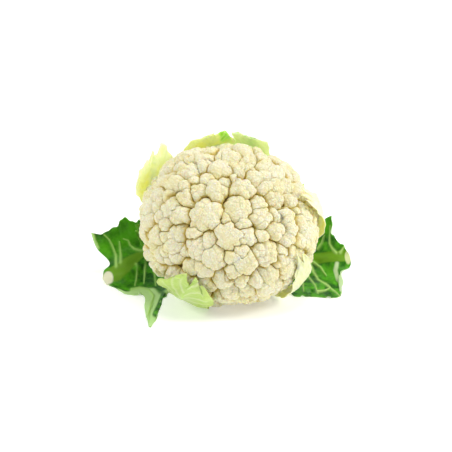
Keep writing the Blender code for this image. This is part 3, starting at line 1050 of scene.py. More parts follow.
        # Painted shade: ochre marked in the creases and where the skin lies deep.
        crease_shade = np.exp(-((edge / 1.5) ** 1.3)) * np.where(together, 0.16, 0.5)
        crease_shade = crease_shade * (1 + ramp(drop, 3.0, 7.5))
        crease_shade = crease_shade + 0.16 * np.exp(-near.knob_edge / 0.8) + 0.25 * ramp(drop, 3.5, 8.0)
        marks = {
            "crease_shade": np.clip(crease_shade * (1 - 0.8 * under), 0, 1),
            # Painted shade: brown where the skin lies deepest and in the listed gaps.
            "gap": np.clip(ramp(drop, 8.2, 10.0) + 0.8 * brown, 0, 1) * (1 - under),
            "stalk": under * ramp(drop, 3.2, 5.0) * 0.5 + under * 0.5,
        }
        floret = near.own[faces[:, 0]]
        floret[under[faces].mean(1) > 0.5] = -1
        return self.trimmed(points), faces, floret, marks

    def settled(self, points: Array, faces: Array) -> Array:
        """Points eased towards their neighbours, to round off single-cell steps.

        Args:
            points: The points.
            faces: Square faces of them all.

        Returns:
            The eased points.
        """
        start, end = sides_of(faces).T
        count = np.bincount(start, minlength=len(points))[:, None]
        total = np.stack([np.bincount(start, part, len(points)) for part in points[end].T], axis=1)
        return 0.6 * points + 0.4 * total / count

    def trimmed(self, local: Array) -> Array:
        """World points, kept above the table and off the stem's cut.

        Args:
            local: Points in head axes.

        Returns:
            World points.
        """
        low = local[:, 2] < self.stem_join
        local[low, 2] = self.stem_join
        points = to_world(local)
        points[:, 2] = np.maximum(points[:, 2], 0)
        return points

    def build(self) -> list[Piece]:
        """Make the curd's pieces.

        Returns:
            Closed wedges that meet at the heart, each under the triangle limit.
        """
        points, faces, floret, marks = self.skin()
        places = self.florets.layout()[0]
        turn = np.degrees(np.arctan2(places[:, 1], places[:, 0])) % 360
        around = 1 + (turn // 72).astype(int)
        wedge = np.append(np.where(from_crown(places) < self.crown_limit, 0, around), 6)
        label = self.unpinched(faces, wedge[floret])
        material = self.finish.make()
        names = ("crown", "right", "back", "left", "front_left", "front_right", "underside")
        return [
            self.wedge("curd_" + name, points, faces[label == number], marks, material)
            for number, name in enumerate(names)
        ]

    def unpinched(self, faces: Array, label: Array) -> Array:
        """Labels changed where a piece would touch itself at a single point.

        Args:
            faces: Square faces.
            label: Each face's piece.

        Returns:
            Each face's piece, mended.
        """
        for _ in range(8):
            pinched = set()
            for number in np.unique(label):
                rim = open_sides(faces[label == number])
                starts, count = np.unique(rim[:, 0], return_counts=True)
                pinched.update(starts[count > 1])
            if not pinched:
                break
            for corner in pinched:
                around = (faces == corner).any(1)
                label[around] = label[around].max()
        return label

    def wedge(self, name: str, points: Array, quads: Array, marks: dict[str, Array],
              material: bpy.types.Material) -> Piece:
        """A part of the skin, closed by a cone of faces to the heart.

        Args:
            name: The piece's name.
            points: All of the skin's points.
            quads: The faces of this part.
            marks: What is kept for each point.
            material: The curd's finish.

        Returns:
            The closed piece.
        """
        used, quads = np.unique(quads, return_inverse=True)
        quads = quads.reshape(-1, 4)
        triangles = np.vstack([quads[:, [0, 1, 2]], quads[:, [0, 2, 3]]])
        rim = open_sides(quads)
        heart = len(used)
        cone = np.column_stack([rim[:, 1], rim[:, 0], np.full(len(rim), heart)])
        piece = mesh_object(name, np.vstack([points[used], HEART]), np.vstack([triangles, cone]))
        for mark, values in marks.items():
            store(piece.data, mark, np.append(values[used], 0))
        self.sharpen_rim(piece.data, rim)
        hand_over(piece, "curd", material)
        return piece

    def sharpen_rim(self, mesh: bpy.types.Mesh, rim: Array) -> None:
        """Mark the rim's edges sharp, so that the hidden cone doesn't tint the skin's shading.

        Args:
            mesh: The mesh.
            rim: One row for each edge, its two ends.
        """
        edges = np.empty(len(mesh.edges) * 2, np.int32)
        mesh.edges.foreach_get("vertices", edges)
        edges = np.sort(edges.reshape(-1, 2), axis=1).astype(np.int64)
        rim = np.sort(rim, axis=1)
        size = len(mesh.vertices)
        sharp = np.isin(edges[:, 0] * size + edges[:, 1], rim[:, 0] * size + rim[:, 1])
        layer = mesh.attributes.new("sharp_edge", "BOOLEAN", "EDGE")
        layer.data.foreach_set("value", sharp)


@dataclass
class Sheet:
    """A closed leaf-like solid between two like grids of points."""

    inner: Array
    outer: Array

    def faces(self) -> Array:
        """Triangles of both faces and the rim.

        Returns:
            One row of vertex numbers for each triangle.
        """
        rows, columns = self.inner.shape[:2]
        step = rows * columns
        r, c = np.meshgrid(np.arange(rows - 1), np.arange(columns - 1), indexing="ij")
        a = (r * columns + c).ravel()
        b, d, e = a + 1, a + columns, a + columns + 1
        near = np.vstack([np.column_stack([a, e, b]), np.column_stack([a, d, e])])
        far = np.vstack([np.column_stack([a, b, e]), np.column_stack([a, e, d])]) + step
        rim = np.concatenate([
            np.arange(columns), np.arange(1, rows) * columns + columns - 1,
            (rows - 1) * columns + np.arange(columns - 2, -1, -1),
            np.arange(rows - 2, 0, -1) * columns,
        ])
        on = np.roll(rim, -1)
        edge = np.vstack([
            np.column_stack([rim, on, step + on]), np.column_stack([rim, step + on, step + rim])
        ])
        return np.vstack([near, far, edge])

    def make(self, node: str, slot: Slot, finish: LeafFinish,
             marks: dict[str, tuple[Array, Array]]) -> Piece:
        """The solid as a finished piece.

        Args:
            node: The solid that it stands for.
            slot: Its material slot; not used.
            finish: What it is made of.
            marks: For each name, what is kept on the inner and on the outer grid.

        Returns:
            The closed piece.
        """
        points = np.vstack([self.inner.reshape(-1, 3), self.outer.reshape(-1, 3)])
        piece = mesh_object("fine_" + node, points, self.faces())
        for mark, (near, far) in marks.items():
            store(piece.data, mark, np.concatenate([near.ravel(), far.ravel()]))
        hand_over(piece, node, finish.make())
        return piece


def lifted_off_table(inner: Array, outer: Array) -> tuple[Array, Array]:
    """Both faces raised wherever one of them would be below the table.

    Args:
        inner: Points of one face.
        outer: Points of the other.

    Returns:
        Both faces.
    """
    lift = np.zeros_like(outer)
    lift[..., 2] = np.maximum(-np.minimum(outer[..., 2], inner[..., 2]), 0)
    return inner + lift, outer + lift


@dataclass
class HeadLeaf:
    """A young leaf that grows from the stem and hugs the curd."""

    node: str
    centre: float
    tip: float
    widest: float
    stand_off: float
    rib: float
    sway: float
    ruffle: float
    layer: int
    finish: LeafFinish
    tongue: float = 0.0
    tongue_at: float = 0.0
    crumple: float = 0.7
    blade: float = 1.0
    clearance: float = 0.9
    layer_step: float = 3.4
    dimple: float = 0.55
    foot_half_width: float = 5.3
    stem_radius: float = 20.2
    rows: int = 92
    columns: int = 61

    def path(self) -> tuple[Array, Array, float]:
        """The rib's inner face as (radius, along the axis), the way along it, and the tip's.

        Returns:
            The path, the way along it at each of its points, and that of the tip.
        """
        angles, reach = zip(*HEAD.outline)
        past = (self.tip, self.tip - 7, self.tip - 14)
        polar = np.append(np.arange(137.0, self.tip + 4, -9.0), past)
        share = np.clip((polar - 108) / (self.tip - 108), 0, 1.2)
        clear = self.clearance + self.layer_step * self.layer + self.stand_off * share**1.6
        far = smooth_through(angles, reach, polar)[:, 0] + clear
        polar = np.radians(polar)
        points = [(self.stem_radius, -65.5), (22.8, -60.6), (29.5, -57.4), (41.0, -53.8)]
        points += list(zip(far * np.sin(polar), far * np.cos(polar)))
        points = np.array(points)
        steps = np.linalg.norm(np.diff(points, axis=0), axis=1)
        lengths = np.append(0, np.cumsum(steps))
        return points, lengths, lengths[-3]

    def half_width(self, s: Array) -> Array:
        """Half width along the leaf: a narrow foot, a broad blade, a rounded tip.

        Args:
            s: Places along the leaf, 0 to 1.

        Returns:
            One half width for each.
        """
        widths = (
            self.foot_half_width, self.foot_half_width, 0.38 * self.widest, 0.76 * self.widest,
            self.widest, 0.9 * self.widest, 0.66 * self.widest, 0.36 * self.widest,
        )
        return smooth_through((0, 0.12, 0.28, 0.5, 0.72, 0.88, 0.96, 1), widths, s)[..., 0]

    def veins(self, s: Array, v: Array) -> Array:
        """How near each place is to a side vein, 0 to 1.

        Args:
            s: Places along the leaf, 0 to 1.
            v: Places across it, -1 to 1.

        Returns:
            One value for each place.
        """
        near = np.zeros_like(s)
        for number in range(8):
            start = 0.3 + 0.085 * number
            for side in (-1, 1):
                root = start + 0.02 * side
                line = root + 0.17 * np.abs(v) ** 1.25
                gap = np.abs(s - line) / (0.011 - 0.005 * np.abs(v))
                here = bell(gap) * ((v * side) > 0) * ramp(-np.abs(v), -0.98, -0.7)
                near = np.maximum(near, here)
        return near

    def margin(self, s: Array, v: Array) -> Array:
        """Half width of each place's row, with the waves and notches of the margin.

        Args:
            s: Places along the leaf, 0 to 1.
            v: Places across it, -1 to 1.

        Returns:
            One half width for each place.
        """
        side = np.sign(v)
        notch = 0.09 * np.sin(21 * s + 2.4 * side + self.centre)
        notch += 0.02 * np.sin(55 * s + 1.3 * side + 2 * self.centre)
        return self.half_width(s) * (1 + notch * np.abs(v) * ramp(s, 0.15, 0.4))

    def ruffled(self, s: Array, v: Array, half: Array) -> Array:
        """How far the blade's sides wave and its margin frills away from the curd.

        Args:
            s: Places along the leaf, 0 to 1.
            v: Places across it, -1 to 1.
            half: Each place's half width.

        Returns:
            One height for each place.
        """
        side = np.sign(v)
        loose = np.clip((s - 0.35) / 0.65, 0, 1)
        wave = 0.5 + 0.5 * np.sin(9.5 * s + 2.2 * side + self.centre)
        lift = self.ruffle * loose * np.abs(v) ** 3 * wave + 0.0012 * half**2 * np.abs(v) ** 2
        frill = np.sin(41 * s + 1.7 * side + self.centre) + 0.6 * np.sin(77 * s - side)
        lift = lift + 0.55 * loose * np.abs(v) ** 6 * (1 + frill)
        return lift + frill * ramp(s, 0.8, 1.0) * 0.5

    def blistered(self, s: Array, places: Array, vein: Array) -> Array:
        """How far the blade puffs out between its veins.

        Args:
            s: Places along the leaf, 0 to 1.
            places: The places in flat millimetres.
            vein: How near each is to a vein.

        Returns:
            One height for each place.
        """
        seed = int(self.centre)
        puff = soft_noise(places, 7.0, seed) * 0.7
        puff = puff + soft_noise(places, 3.4, seed + 1) * 0.3 * (1 - vein)
        return np.maximum(puff * ramp(s, 0.3, 0.5) * self.crumple, -self.dimple)

    def build(self) -> Piece:
        """Make the leaf from places s along it, 0 to 1, and v across it, -1 to 1.

        Returns:
            The closed piece.
        """
        path, lengths, full = self.path()
        s = np.linspace(0, 1, self.rows)[:, None] * np.ones(self.columns)
        v = np.ones((self.rows, 1)) * np.sin(np.linspace(-0.5, 0.5, self.columns) * math.pi * 0.86)
        v = v / abs(v[0, 0])
        ragged = 0.045 * np.sin(6 * v + self.centre) * s**3
        fray = 0.012 * (self.widest / 25) ** 2
        ragged = ragged + fray * np.sin(15 * v + 2 * self.centre) * s**6
        horn = bell((v - self.tongue_at) / 0.24)
        along = s * full * (1 + ragged + self.tongue * horn * s**4)
        middle = smooth_through(lengths, path, along)
        before, after = (smooth_through(lengths, path, along + step) for step in (-0.4, 0.4))
        ahead = unit(after - before)
        out = np.stack([-ahead[..., 1], ahead[..., 0]], axis=-1)
        out = np.where((out * middle).sum(-1, keepdims=True) < 0, -out, out)
        half = self.margin(s, v)
        turn = np.radians(self.centre + self.sway * s**2) + v * half / np.maximum(middle[..., 0], 1)

        def placed(offset: Array) -> Array:
            """World points at a distance outside the middle of the leaf's inner face."""
            radius = middle[..., 0] + out[..., 0] * offset
            return to_world(np.stack([
                radius * np.cos(turn), HEAD.flattening * radius * np.sin(turn),
                middle[..., 1] + out[..., 1] * offset,
            ], axis=-1))

        near = self.veins(s, v)
        places = np.stack([s * 90, v * half, 0 * s], axis=-1)
        lift, puff = self.ruffled(s, v, half), self.blistered(s, places, near)
        rib = (1 - 0.82 * s**0.8) * bell(v * half / (5.2 - 2.4 * s))
        thick = self.blade + (self.rib - self.blade) * rib
        thin = 1 - 0.3 * ramp(np.abs(v), 0.7, 1.0) * ramp(s, 0.3, 0.6)
        inner, outer = lifted_off_table(
            placed(lift + np.maximum(puff - 0.25 * near, -self.dimple)),
            placed(lift + thick * thin + puff + 0.35 * near),
        )
        foot = ramp(-s, -0.5, -0.12) * 0.9 + 0.35 * ramp(-s, -0.85, -0.4) * (1 - np.abs(v))
        vein = np.maximum(near * 0.65, rib**0.5 * ramp(-s, -1.05, -0.2))
        young = 0.4 * ramp(soft_noise(places, 20.0, int(self.centre) + 3), -0.2, 1.2)
        young = np.clip(young + ramp(s, 0.72, 1.0) + 0.5 * ramp(np.abs(v), 0.5, 1.0), 0, 1)
        stub = ramp(horn, 0.25, 0.8) * ramp(s, 0.78, 0.9) * (self.tongue > 0)
        nothing = np.zeros_like(s)
        return Sheet(inner, outer).make(self.node, Slot.YOUNG_LEAF, self.finish, {
            "foot": (foot, foot), "vein": (vein * 0.7, vein), "young": (young, young),
            "back": (nothing, nothing + 0.9), "rib": (stub, stub),
        })


def from_stroke(pixels: Array, start: Array, stop: Array) -> tuple[Array, Array]:
    """How far places are from a straight stroke, and the nearest share of its length.

    Args:
        pixels: The places.
        start: One end of the stroke.
        stop: The other end.

    Returns:
        The distances and the shares, 0 to 1.
    """
    way = stop - start
    share = np.clip(((pixels - start) @ way) / (way @ way), 0, 1)
    return np.linalg.norm(pixels - start - share[..., None] * way, axis=-1), share


@dataclass
class OuterLeaf:
    """A large green outer leaf, cut from the plant and lying loose beside the head.

    The net's rows run from the cut stalk end to the tip under the head, each from the upper
    margin to the lower one, as (pixels across, pixels down, millimetres behind the heart).
    The veins, the stalk, the pale and the shaded bands are strokes in pixels, and the clouds of
    painted light and painted shade are (pixels across, pixels down, size, amount).
    """

    node: str
    finish: LeafFinish
    seed: int
    rib_at: float
    rib_width: float
    rib_depth: float
    fold_from: float
    cut: Spot
    net: tuple[tuple[Spot, ...], ...]
    veins: tuple[tuple[Spot, ...], ...]
    stalk: tuple[Spot, ...]
    pale: tuple[Spot, ...]
    painted_light_and_shade: tuple[Spot, ...]
    shade: tuple[Spot, ...] = ()
    blade: float = 1.0
    rows: int = 150
    columns: int = 132

    def surface(self) -> tuple[Array, Array, Array]:
        """The middle surface, and the net coordinates along and across it.

        Returns:
            The surface as rows of (pixels across, pixels down, behind), and the two coordinates.
        """
        net = np.array(self.net, float)
        rows, columns = net.shape[:2]
        u = np.linspace(0, rows - 1, self.rows)
        v = np.linspace(0, columns - 1, self.columns)
        grid = smooth_through(np.arange(rows), net.reshape(rows, -1), u)
        grid = grid.reshape(self.rows, columns, 3).swapaxes(0, 1)
        grid = smooth_through(np.arange(columns), grid.reshape(columns, -1), v)
        return grid.reshape(self.columns, self.rows, 3).swapaxes(0, 1), u, v

    def nearness(self, pixels: Array) -> Array:
        """How near each place is to a drawn vein, 0 to 1, thick at its root.

        Args:
            pixels: The places.

        Returns:
            One value for each place.
        """
        near = np.zeros(pixels.shape[:2])
        for line in self.veins:
            ends = np.array(line, float)
            for k, (start, stop) in enumerate(zip(ends[:-1], ends[1:])):
                gap, share = from_stroke(pixels, start, stop)
                width = 1.6 - 0.9 * (k + share) / (len(ends) - 1)
                near = np.maximum(near, bell(gap / width))
        return near

    def band(self, pixels: Array, line: tuple[Spot, ...]) -> Array:
        """Which places lie within a line of (pixels across, down, half width), 0 to 1.

        Args:
            pixels: The places.
            line: The points of the line.

        Returns:
            One value for each place.
        """
        inside = np.zeros(pixels.shape[:2])
        ends = np.array(line, float).reshape(-1, 3)
        for start, stop in zip(ends[:-1], ends[1:]):
            gap, share = from_stroke(pixels, start[:2], stop[:2])
            width = start[2] + share * (stop[2] - start[2])
            inside = np.maximum(inside, ramp(width - gap, -0.9, 0.9))
        return inside

    def waved(self, grid: Array, u: Array) -> tuple[Array, Array]:
        """The middle surface with waves along its margins, and which way it faces.

        Args:
            grid: World points.
            u: Each row of the net.

        Returns:
            World points, and unit normals.
        """
        normals = unit(np.cross(np.gradient(grid, axis=1), np.gradient(grid, axis=0)))
        if (normals @ HEAD.towards_viewer).mean() < 0:
            normals = -normals
        edge = np.abs(np.linspace(-1, 1, self.columns)[None] * np.ones((self.rows, 1))) ** 4
        wave = np.sin(u * 3.6)[:, None] * edge * 1.6
        wave = wave + np.sin(u * 9.1 + 1)[:, None] * edge**2 * 0.9
        return grid + normals * wave[..., None], normals

    def ribbed(self, grid: Array, v: Array) -> tuple[Array, Array]:
        """How near each place is to the middle of the main rib, 0 to 1, and the rib's taper.

        Args:
            grid: World points.
            v: Each column of the net.

        Returns:
            The nearness, and one taper for each row.
        """
        steps = np.linalg.norm(np.diff(grid, axis=1), axis=2)
        reach = np.concatenate([np.zeros((self.rows, 1)), np.cumsum(steps, axis=1)], axis=1)
        centre = np.array([np.interp(self.rib_at, v, row) for row in reach])[:, None]
        taper = np.linspace(1, 0.35, self.rows)[:, None]
        return np.exp(-(((reach - centre) / (self.rib_width * taper)) ** 2) * 2.2), taper

    def tint_and_painted_light(self, grid: Array, pixels: Array) -> Array:
        """How light the blade is, 0 to 1: a soft random tint, with painted light and painted shade.

        Args:
            grid: World points.
            pixels: Where the photograph shows them.

        Returns:
            One value for each point.
        """
        young = 0.15 * ramp(soft_noise(grid, 22.0, self.seed + 4), -0.5, 1.3)
        # Painted light and painted shade: lighter and darker clouds where light and shade fall on
        # the blade.
        for across, down, size, amount in self.painted_light_and_shade:
            away = np.hypot(pixels[..., 0] - across, pixels[..., 1] - down) / size
            young = young + amount * bell(away)
        return np.clip(young, 0, 1)

    def build(self) -> Piece:
        """Make the leaf.

        Returns:
            The closed piece.
        """
        seen, u, v = self.surface()
        grid, normals = self.waved(seen_points(seen), u)
        rib, taper = self.ribbed(grid, v)
        pixels = seen[..., :2]
        near = self.nearness(pixels) * (1 - 0.6 * rib)
        puff = soft_noise(grid, 9.0, self.seed) * 0.75 + soft_noise(grid, 4.2, self.seed + 1) * 0.14
        puff = puff * (1 - near) * (1 - rib)
        ridge = 0.7 * near
        upper = self.blade / 2 + 0.25 * self.rib_depth * rib * taper + puff + ridge
        lower = self.blade / 2 + 0.75 * self.rib_depth * rib * taper - puff + 0.3 * ridge
        upper, lower = lifted_off_table(
            grid + normals * upper[..., None], grid - normals * lower[..., None]
        )
        lowest = min(upper[..., 2].min(), lower[..., 2].min())
        upper[..., 2] -= lowest
        lower[..., 2] -= lowest

        folded = ramp(v[None] * np.ones((self.rows, 1)), self.fold_from, self.fold_from + 0.35)
        folded = folded * (1 - self.band(pixels, self.shade))
        folded = np.maximum(folded, self.band(pixels, self.pale))
        stalk = self.band(pixels, self.stalk)
        oval = np.hypot((pixels[..., 0] - self.cut[0]) / self.cut[2],
                        (pixels[..., 1] - self.cut[1]) / self.cut[3])
        cut = ramp(-oval, -1.15, -0.9)
        vein = np.clip(near * 0.95, 0, 1)
        # The young mark here carries painted light and painted shade as well as a soft random tint.
        young = self.tint_and_painted_light(grid, pixels)
        nothing = np.zeros_like(stalk)
        return Sheet(lower, upper).make(self.node, Slot.OUTER_LEAF, self.finish, {
            "foot": (cut, cut), "vein": (vein, vein), "young": (young * 0.4, young),
            "back": (nothing + 0.8, folded), "rib": (nothing, stalk * 0.95),
        })


@dataclass
class Stem:
    """The short cut stump under the curd."""

    finish: StemFinish = field(default_factory=StemFinish)
    radius: float = 19.3
    join: float = -54.0
    cut: float = -66.0
    rim: float = 1.2
    sides: int = 240

    def rings(self) -> tuple[Array, Array]:
        """Each ring's (height, share of the radius) from top to cut, and if it is on the cut.

        Returns:
            One row for each ring, and one flag for each.
        """
        top, rim = self.join - 0.4, self.cut + self.rim
        inside = [(top, size) for size in np.linspace(0.02, 0.96, 6)]
        wall = [(top + (rim - self.join + 0.4) * t, 1.0) for t in np.linspace(0, 1, 26)]
        bend = [(rim - self.rim * math.sin(a), 1 - 0.06 * (1 - math.cos(a)))
                for a in np.linspace(0, math.pi / 2, 7)[1:]]
        face = [(self.cut, size) for size in np.linspace(0.92, 0.02, 34)]
        rings = np.array(inside + wall + bend + face)
        return rings, (np.arange(len(rings)) >= len(inside) + len(wall))[:, None]

    def faces(self, count: int) -> Array:
        """Triangles between rings, and fans round the middles of the first and last ring.

        Args:
            count: How many rings there are.

        Returns:
            One row of vertex numbers for each triangle.
        """
        r, c = np.meshgrid(np.arange(count - 1), np.arange(self.sides), indexing="ij")
        a = (r * self.sides + c).ravel()
        b = (r * self.sides + (c + 1) % self.sides).ravel()
        ring, size = np.arange(self.sides), count * self.sides
        end, on = size - self.sides + ring, np.roll(ring, -1)
        middle = np.full(self.sides, size)
        return np.vstack([
            np.column_stack([a, a + self.sides, b]),
            np.column_stack([b, a + self.sides, b + self.sides]),
            np.column_stack([on, middle, ring]),
            np.column_stack([end, middle + 1, np.roll(end, -1)]),
        ])

    def build(self) -> Piece:
        """Make the stump: a lobed wall with leaf scars, a soft rim and a sawn face.

        Returns:
            The closed piece.
        """
        turn = np.linspace(0, 2 * math.pi, self.sides, endpoint=False)
        rings, flat = self.rings()
        lobes = 1 + 0.018 * np.sin(5 * turn + 0.4) + 0.012 * np.sin(9 * turn)
        lobes = lobes + 0.006 * np.sin(23 * turn + 1)
        size = self.radius * rings[:, 1:] * lobes
        local = np.stack([
            size * np.cos(turn), HEAD.flattening * size * np.sin(turn),
            rings[:, :1] * np.ones(self.sides),
        ], axis=-1)
        rough = soft_noise(local, 5.0, 21) * 0.25 + soft_noise(local, 1.8, 22) * 0.1
        local[..., 2] += np.where(flat, np.abs(rough) * 0.9, 0)
        dent = np.where(flat, 0, np.abs(rough) * 0.8)
        local[..., :2] *= (1 - dent / self.radius)[..., None]
        points = to_world(local.reshape(-1, 3))
        points[:, 2] = np.maximum(points[:, 2], 0)
        ends = points[:self.sides].mean(0), points[-self.sides:].mean(0)
        piece = mesh_object("fine_stem", np.vstack([points, *ends]), self.faces(len(rings)))
        share = (rings[:, 1:] * np.ones(self.sides)).ravel()
        cut = (flat * np.ones(self.sides)).ravel()
        ringed = bell((share - 0.74) / 0.07) + 0.3 * bell((share - 0.3) / 0.12)
        store(piece.data, "cut", np.append(cut, [0, 1]))
        store(piece.data, "ring", np.append(ringed * cut, [0, 0]))
        hand_over(piece, "stem", self.finish.make())
        return piece


@dataclass
class Studio:
    """A pale table, soft lights and the camera at the photograph's angle."""

    distance: float = 1500.0
    frame_pixels: float = 452.0
    table_width: float = 40.0
    sky: float = 0.4
    lamps: tuple[tuple[str, Spot, float, float, Colour], ...] = (
        ("key_lamp", (0.2, -0.25, 1.4), 0.4, 4.6, (1.0, 0.995, 0.985)),
        ("left_lamp", (-1.2, -0.3, 1.0), 0.5, 7.0, (1.0, 0.995, 0.99)),
        ("right_lamp", (1.2, -0.15, 0.9), 0.5, 11.0, (1.0, 0.995, 0.99)),
        ("back_lamp", (-0.3, 1.1, 0.9), 0.8, 5.0, (1.0, 1.0, 0.98)),
    )

    def table(self) -> None:
        """A wide white table, whiter where the lamps don't reach."""
        deselect()
        bpy.ops.mesh.primitive_plane_add(size=self.table_width, location=(0, 0, 0))
        table = bpy.context.object
        table.name = "table"
        patch = NodePatch("table_white")
        patch.settle(Base_Color=(0.93, 0.935, 0.925, 1.0), Roughness=0.55, Specular_IOR_Level=0.25,
                     Emission_Color=(1.0, 1.0, 1.0, 1.0))
        emission_glow = patch.between(patch.reach(), 0.6, 1.8, 0.27, 0.75)
        patch.link(emission_glow, patch.shader.inputs["Emission Strength"])
        table.data.materials.append(patch.material)

    def lamp(self, name: str, place: Spot, size: float, watts: float, colour: Colour) -> None:
        """A soft square lamp at a place in metres, that looks at the head.

        Args:
            name: What the lamp is called.
            place: Where it hangs, in metres.
            size: Its side, in metres.
            watts: Its power.
            colour: Its linear colour.
        """
        light = bpy.data.lights.new(name, "AREA")
        light.shape = "SQUARE"
        light.size = size
        light.energy = watts
        light.color = colour
        lamp = bpy.data.objects.new(name, light)
        bpy.context.scene.collection.objects.link(lamp)
        lamp.location = place
        aim = np.array([0.0, 0.01, 0.06]) - np.array(place)
        self.point(lamp, aim)

    def point(self, thing: Piece, aim: Array) -> None:
        """Turn a lamp or camera to look along a direction, upright.

        Args:
            thing: The lamp or camera, at its place.
            aim: The direction.
        """
        back = -unit(np.asarray(aim, float))
        right = unit(np.cross((0.0, 0.0, 1.0), back))
        up = np.cross(back, right)
        turn = np.array([right, up, back]).T
        matrix = thing.matrix_world.copy()
        for row in range(3):
            for column in range(3):
                matrix[row][column] = turn[row, column]
            matrix[row][3] = thing.location[row]
        thing.matrix_world = matrix

    def camera(self) -> None:
        """A long lens, level with the photograph's."""
        lens = bpy.data.cameras.new("camera")
        camera = bpy.data.objects.new("camera", lens)
        bpy.context.scene.collection.objects.link(camera)
        lens.sensor_width = 36.0
        lens.lens = 36.0 * self.distance / (self.frame_pixels * HEAD.mm_per_pixel)
        lens.clip_end = 60.0
        view = HEAD.towards_viewer
        up = np.array([0.0, math.sin(HEAD.view_elevation), math.cos(HEAD.view_elevation)])
        middle = self.frame_pixels / 2
        target = HEART + (middle - HEAD.heart_pixel[0]) * HEAD.mm_per_pixel * np.array([1.0, 0, 0])
        target = target + (HEAD.heart_pixel[1] - middle) * HEAD.mm_per_pixel * up
        camera.location = (target + view * self.distance) * MM
        self.point(camera, -view)
        bpy.context.scene.camera = camera

    def build(self) -> None:
        """Set the whole studio up."""
        self.table()
        scene = bpy.context.scene
        world = bpy.data.worlds.new("soft_room")
        scene.world = world
        world.use_nodes = True
        sky = world.node_tree.nodes["Background"]
        sky.inputs["Color"].default_value = (1.0, 1.0, 1.0, 1.0)
        sky.inputs["Strength"].default_value = self.sky
        for row in self.lamps:
            self.lamp(*row)
        scene.view_settings.view_transform = "Standard"
        self.camera()


TOP_LEAF = LeafFinish(
    "leaf_yellow", (236, 234, 112), (232, 244, 172), (240, 238, 200),
    (240, 244, 196), (212, 232, 140), (150, 218, 62), glow=0.7, emission_glow=0.2,
)
BACK_LEAF = LeafFinish(
    "leaf_mint", (200, 232, 150), (216, 238, 176), (240, 240, 204),
    (232, 242, 200), (190, 224, 146), glow=0.7, emission_glow=0.16,
)
PALE_LEAF = LeafFinish(
    "leaf_pale", (240, 236, 124), (232, 246, 190), (244, 242, 214),
    (244, 250, 214), (216, 236, 160), glow=0.7, emission_glow=0.22,
)
CREAM_LEAF = LeafFinish(
    "leaf_cream", (244, 236, 120), (248, 246, 178), (250, 246, 220),
    (250, 250, 214), (246, 246, 196), glow=0.7, emission_glow=0.1,
)
WHITE_LEAF = LeafFinish(
    "leaf_whitish", (226, 232, 140), (234, 240, 186), (250, 246, 220),
    (244, 248, 206), (232, 240, 178), glow=0.7, emission_glow=0.02,
)
GREEN_LEAF = LeafFinish(
    "leaf_fresh", (208, 220, 70), (206, 228, 124), (236, 238, 200),
    (230, 240, 194), (184, 218, 112), glow=0.7,
)
DEEP_LEAF = LeafFinish(
    "leaf_deep", (70, 136, 20), (92, 160, 36), (226, 232, 190),
    (150, 190, 90), (84, 150, 30), grain=0.2, shine=0.2,
)
LEFT_LEAF = LeafFinish(
    "leaf_left_green", (20, 88, 2), (84, 170, 14), (240, 238, 206),
    (172, 216, 114), (186, 224, 146), (112, 160, 34), gloss=0.45, glow=0.04,
    grain=0.15, shine=0.22,
)
RIGHT_LEAF = LeafFinish(
    "leaf_right_green", (16, 88, 2), (88, 178, 20), (214, 224, 160),
    (182, 220, 122), (206, 228, 176), (114, 162, 30), gloss=0.45, glow=0.04,
    grain=0.15, shine=0.22,
)
HEAD_LEAVES: tuple[HeadLeaf, ...] = (
    HeadLeaf("leaf_top_left", 113, 71, 23, 5.5, 6.0, -4, 2.0, 0, TOP_LEAF, 0.075, -0.62),
    HeadLeaf("leaf_top_right", 79, 66, 18, 2.5, 6.0, 10, 2.0, 1, BACK_LEAF),
    HeadLeaf("leaf_upper_left", 152, 75, 25, 9.5, 6.0, -3, 2.4, 0, PALE_LEAF, crumple=1.4),
    HeadLeaf("leaf_left", 187, 104, 15, 0.8, 3.0, 0, 0.4, 0, DEEP_LEAF),
    HeadLeaf("leaf_lower_left", 245, 76, 25, 1.8, 4.5, 9, 1.8, 0, GREEN_LEAF, crumple=2.4),
    HeadLeaf("leaf_lower_right", 324, 71, 13, 0.2, 2.6, 5, 0.5, 0, WHITE_LEAF, crumple=0.4),
    HeadLeaf("leaf_right", 15, 57, 12, 0.9, 3.2, 2, 0.8, 0, CREAM_LEAF, crumple=0.4),
    HeadLeaf("leaf_upper_right", 46.5, 94, 18, 1.0, 6.0, 0, 1.4, 0, BACK_LEAF),
)
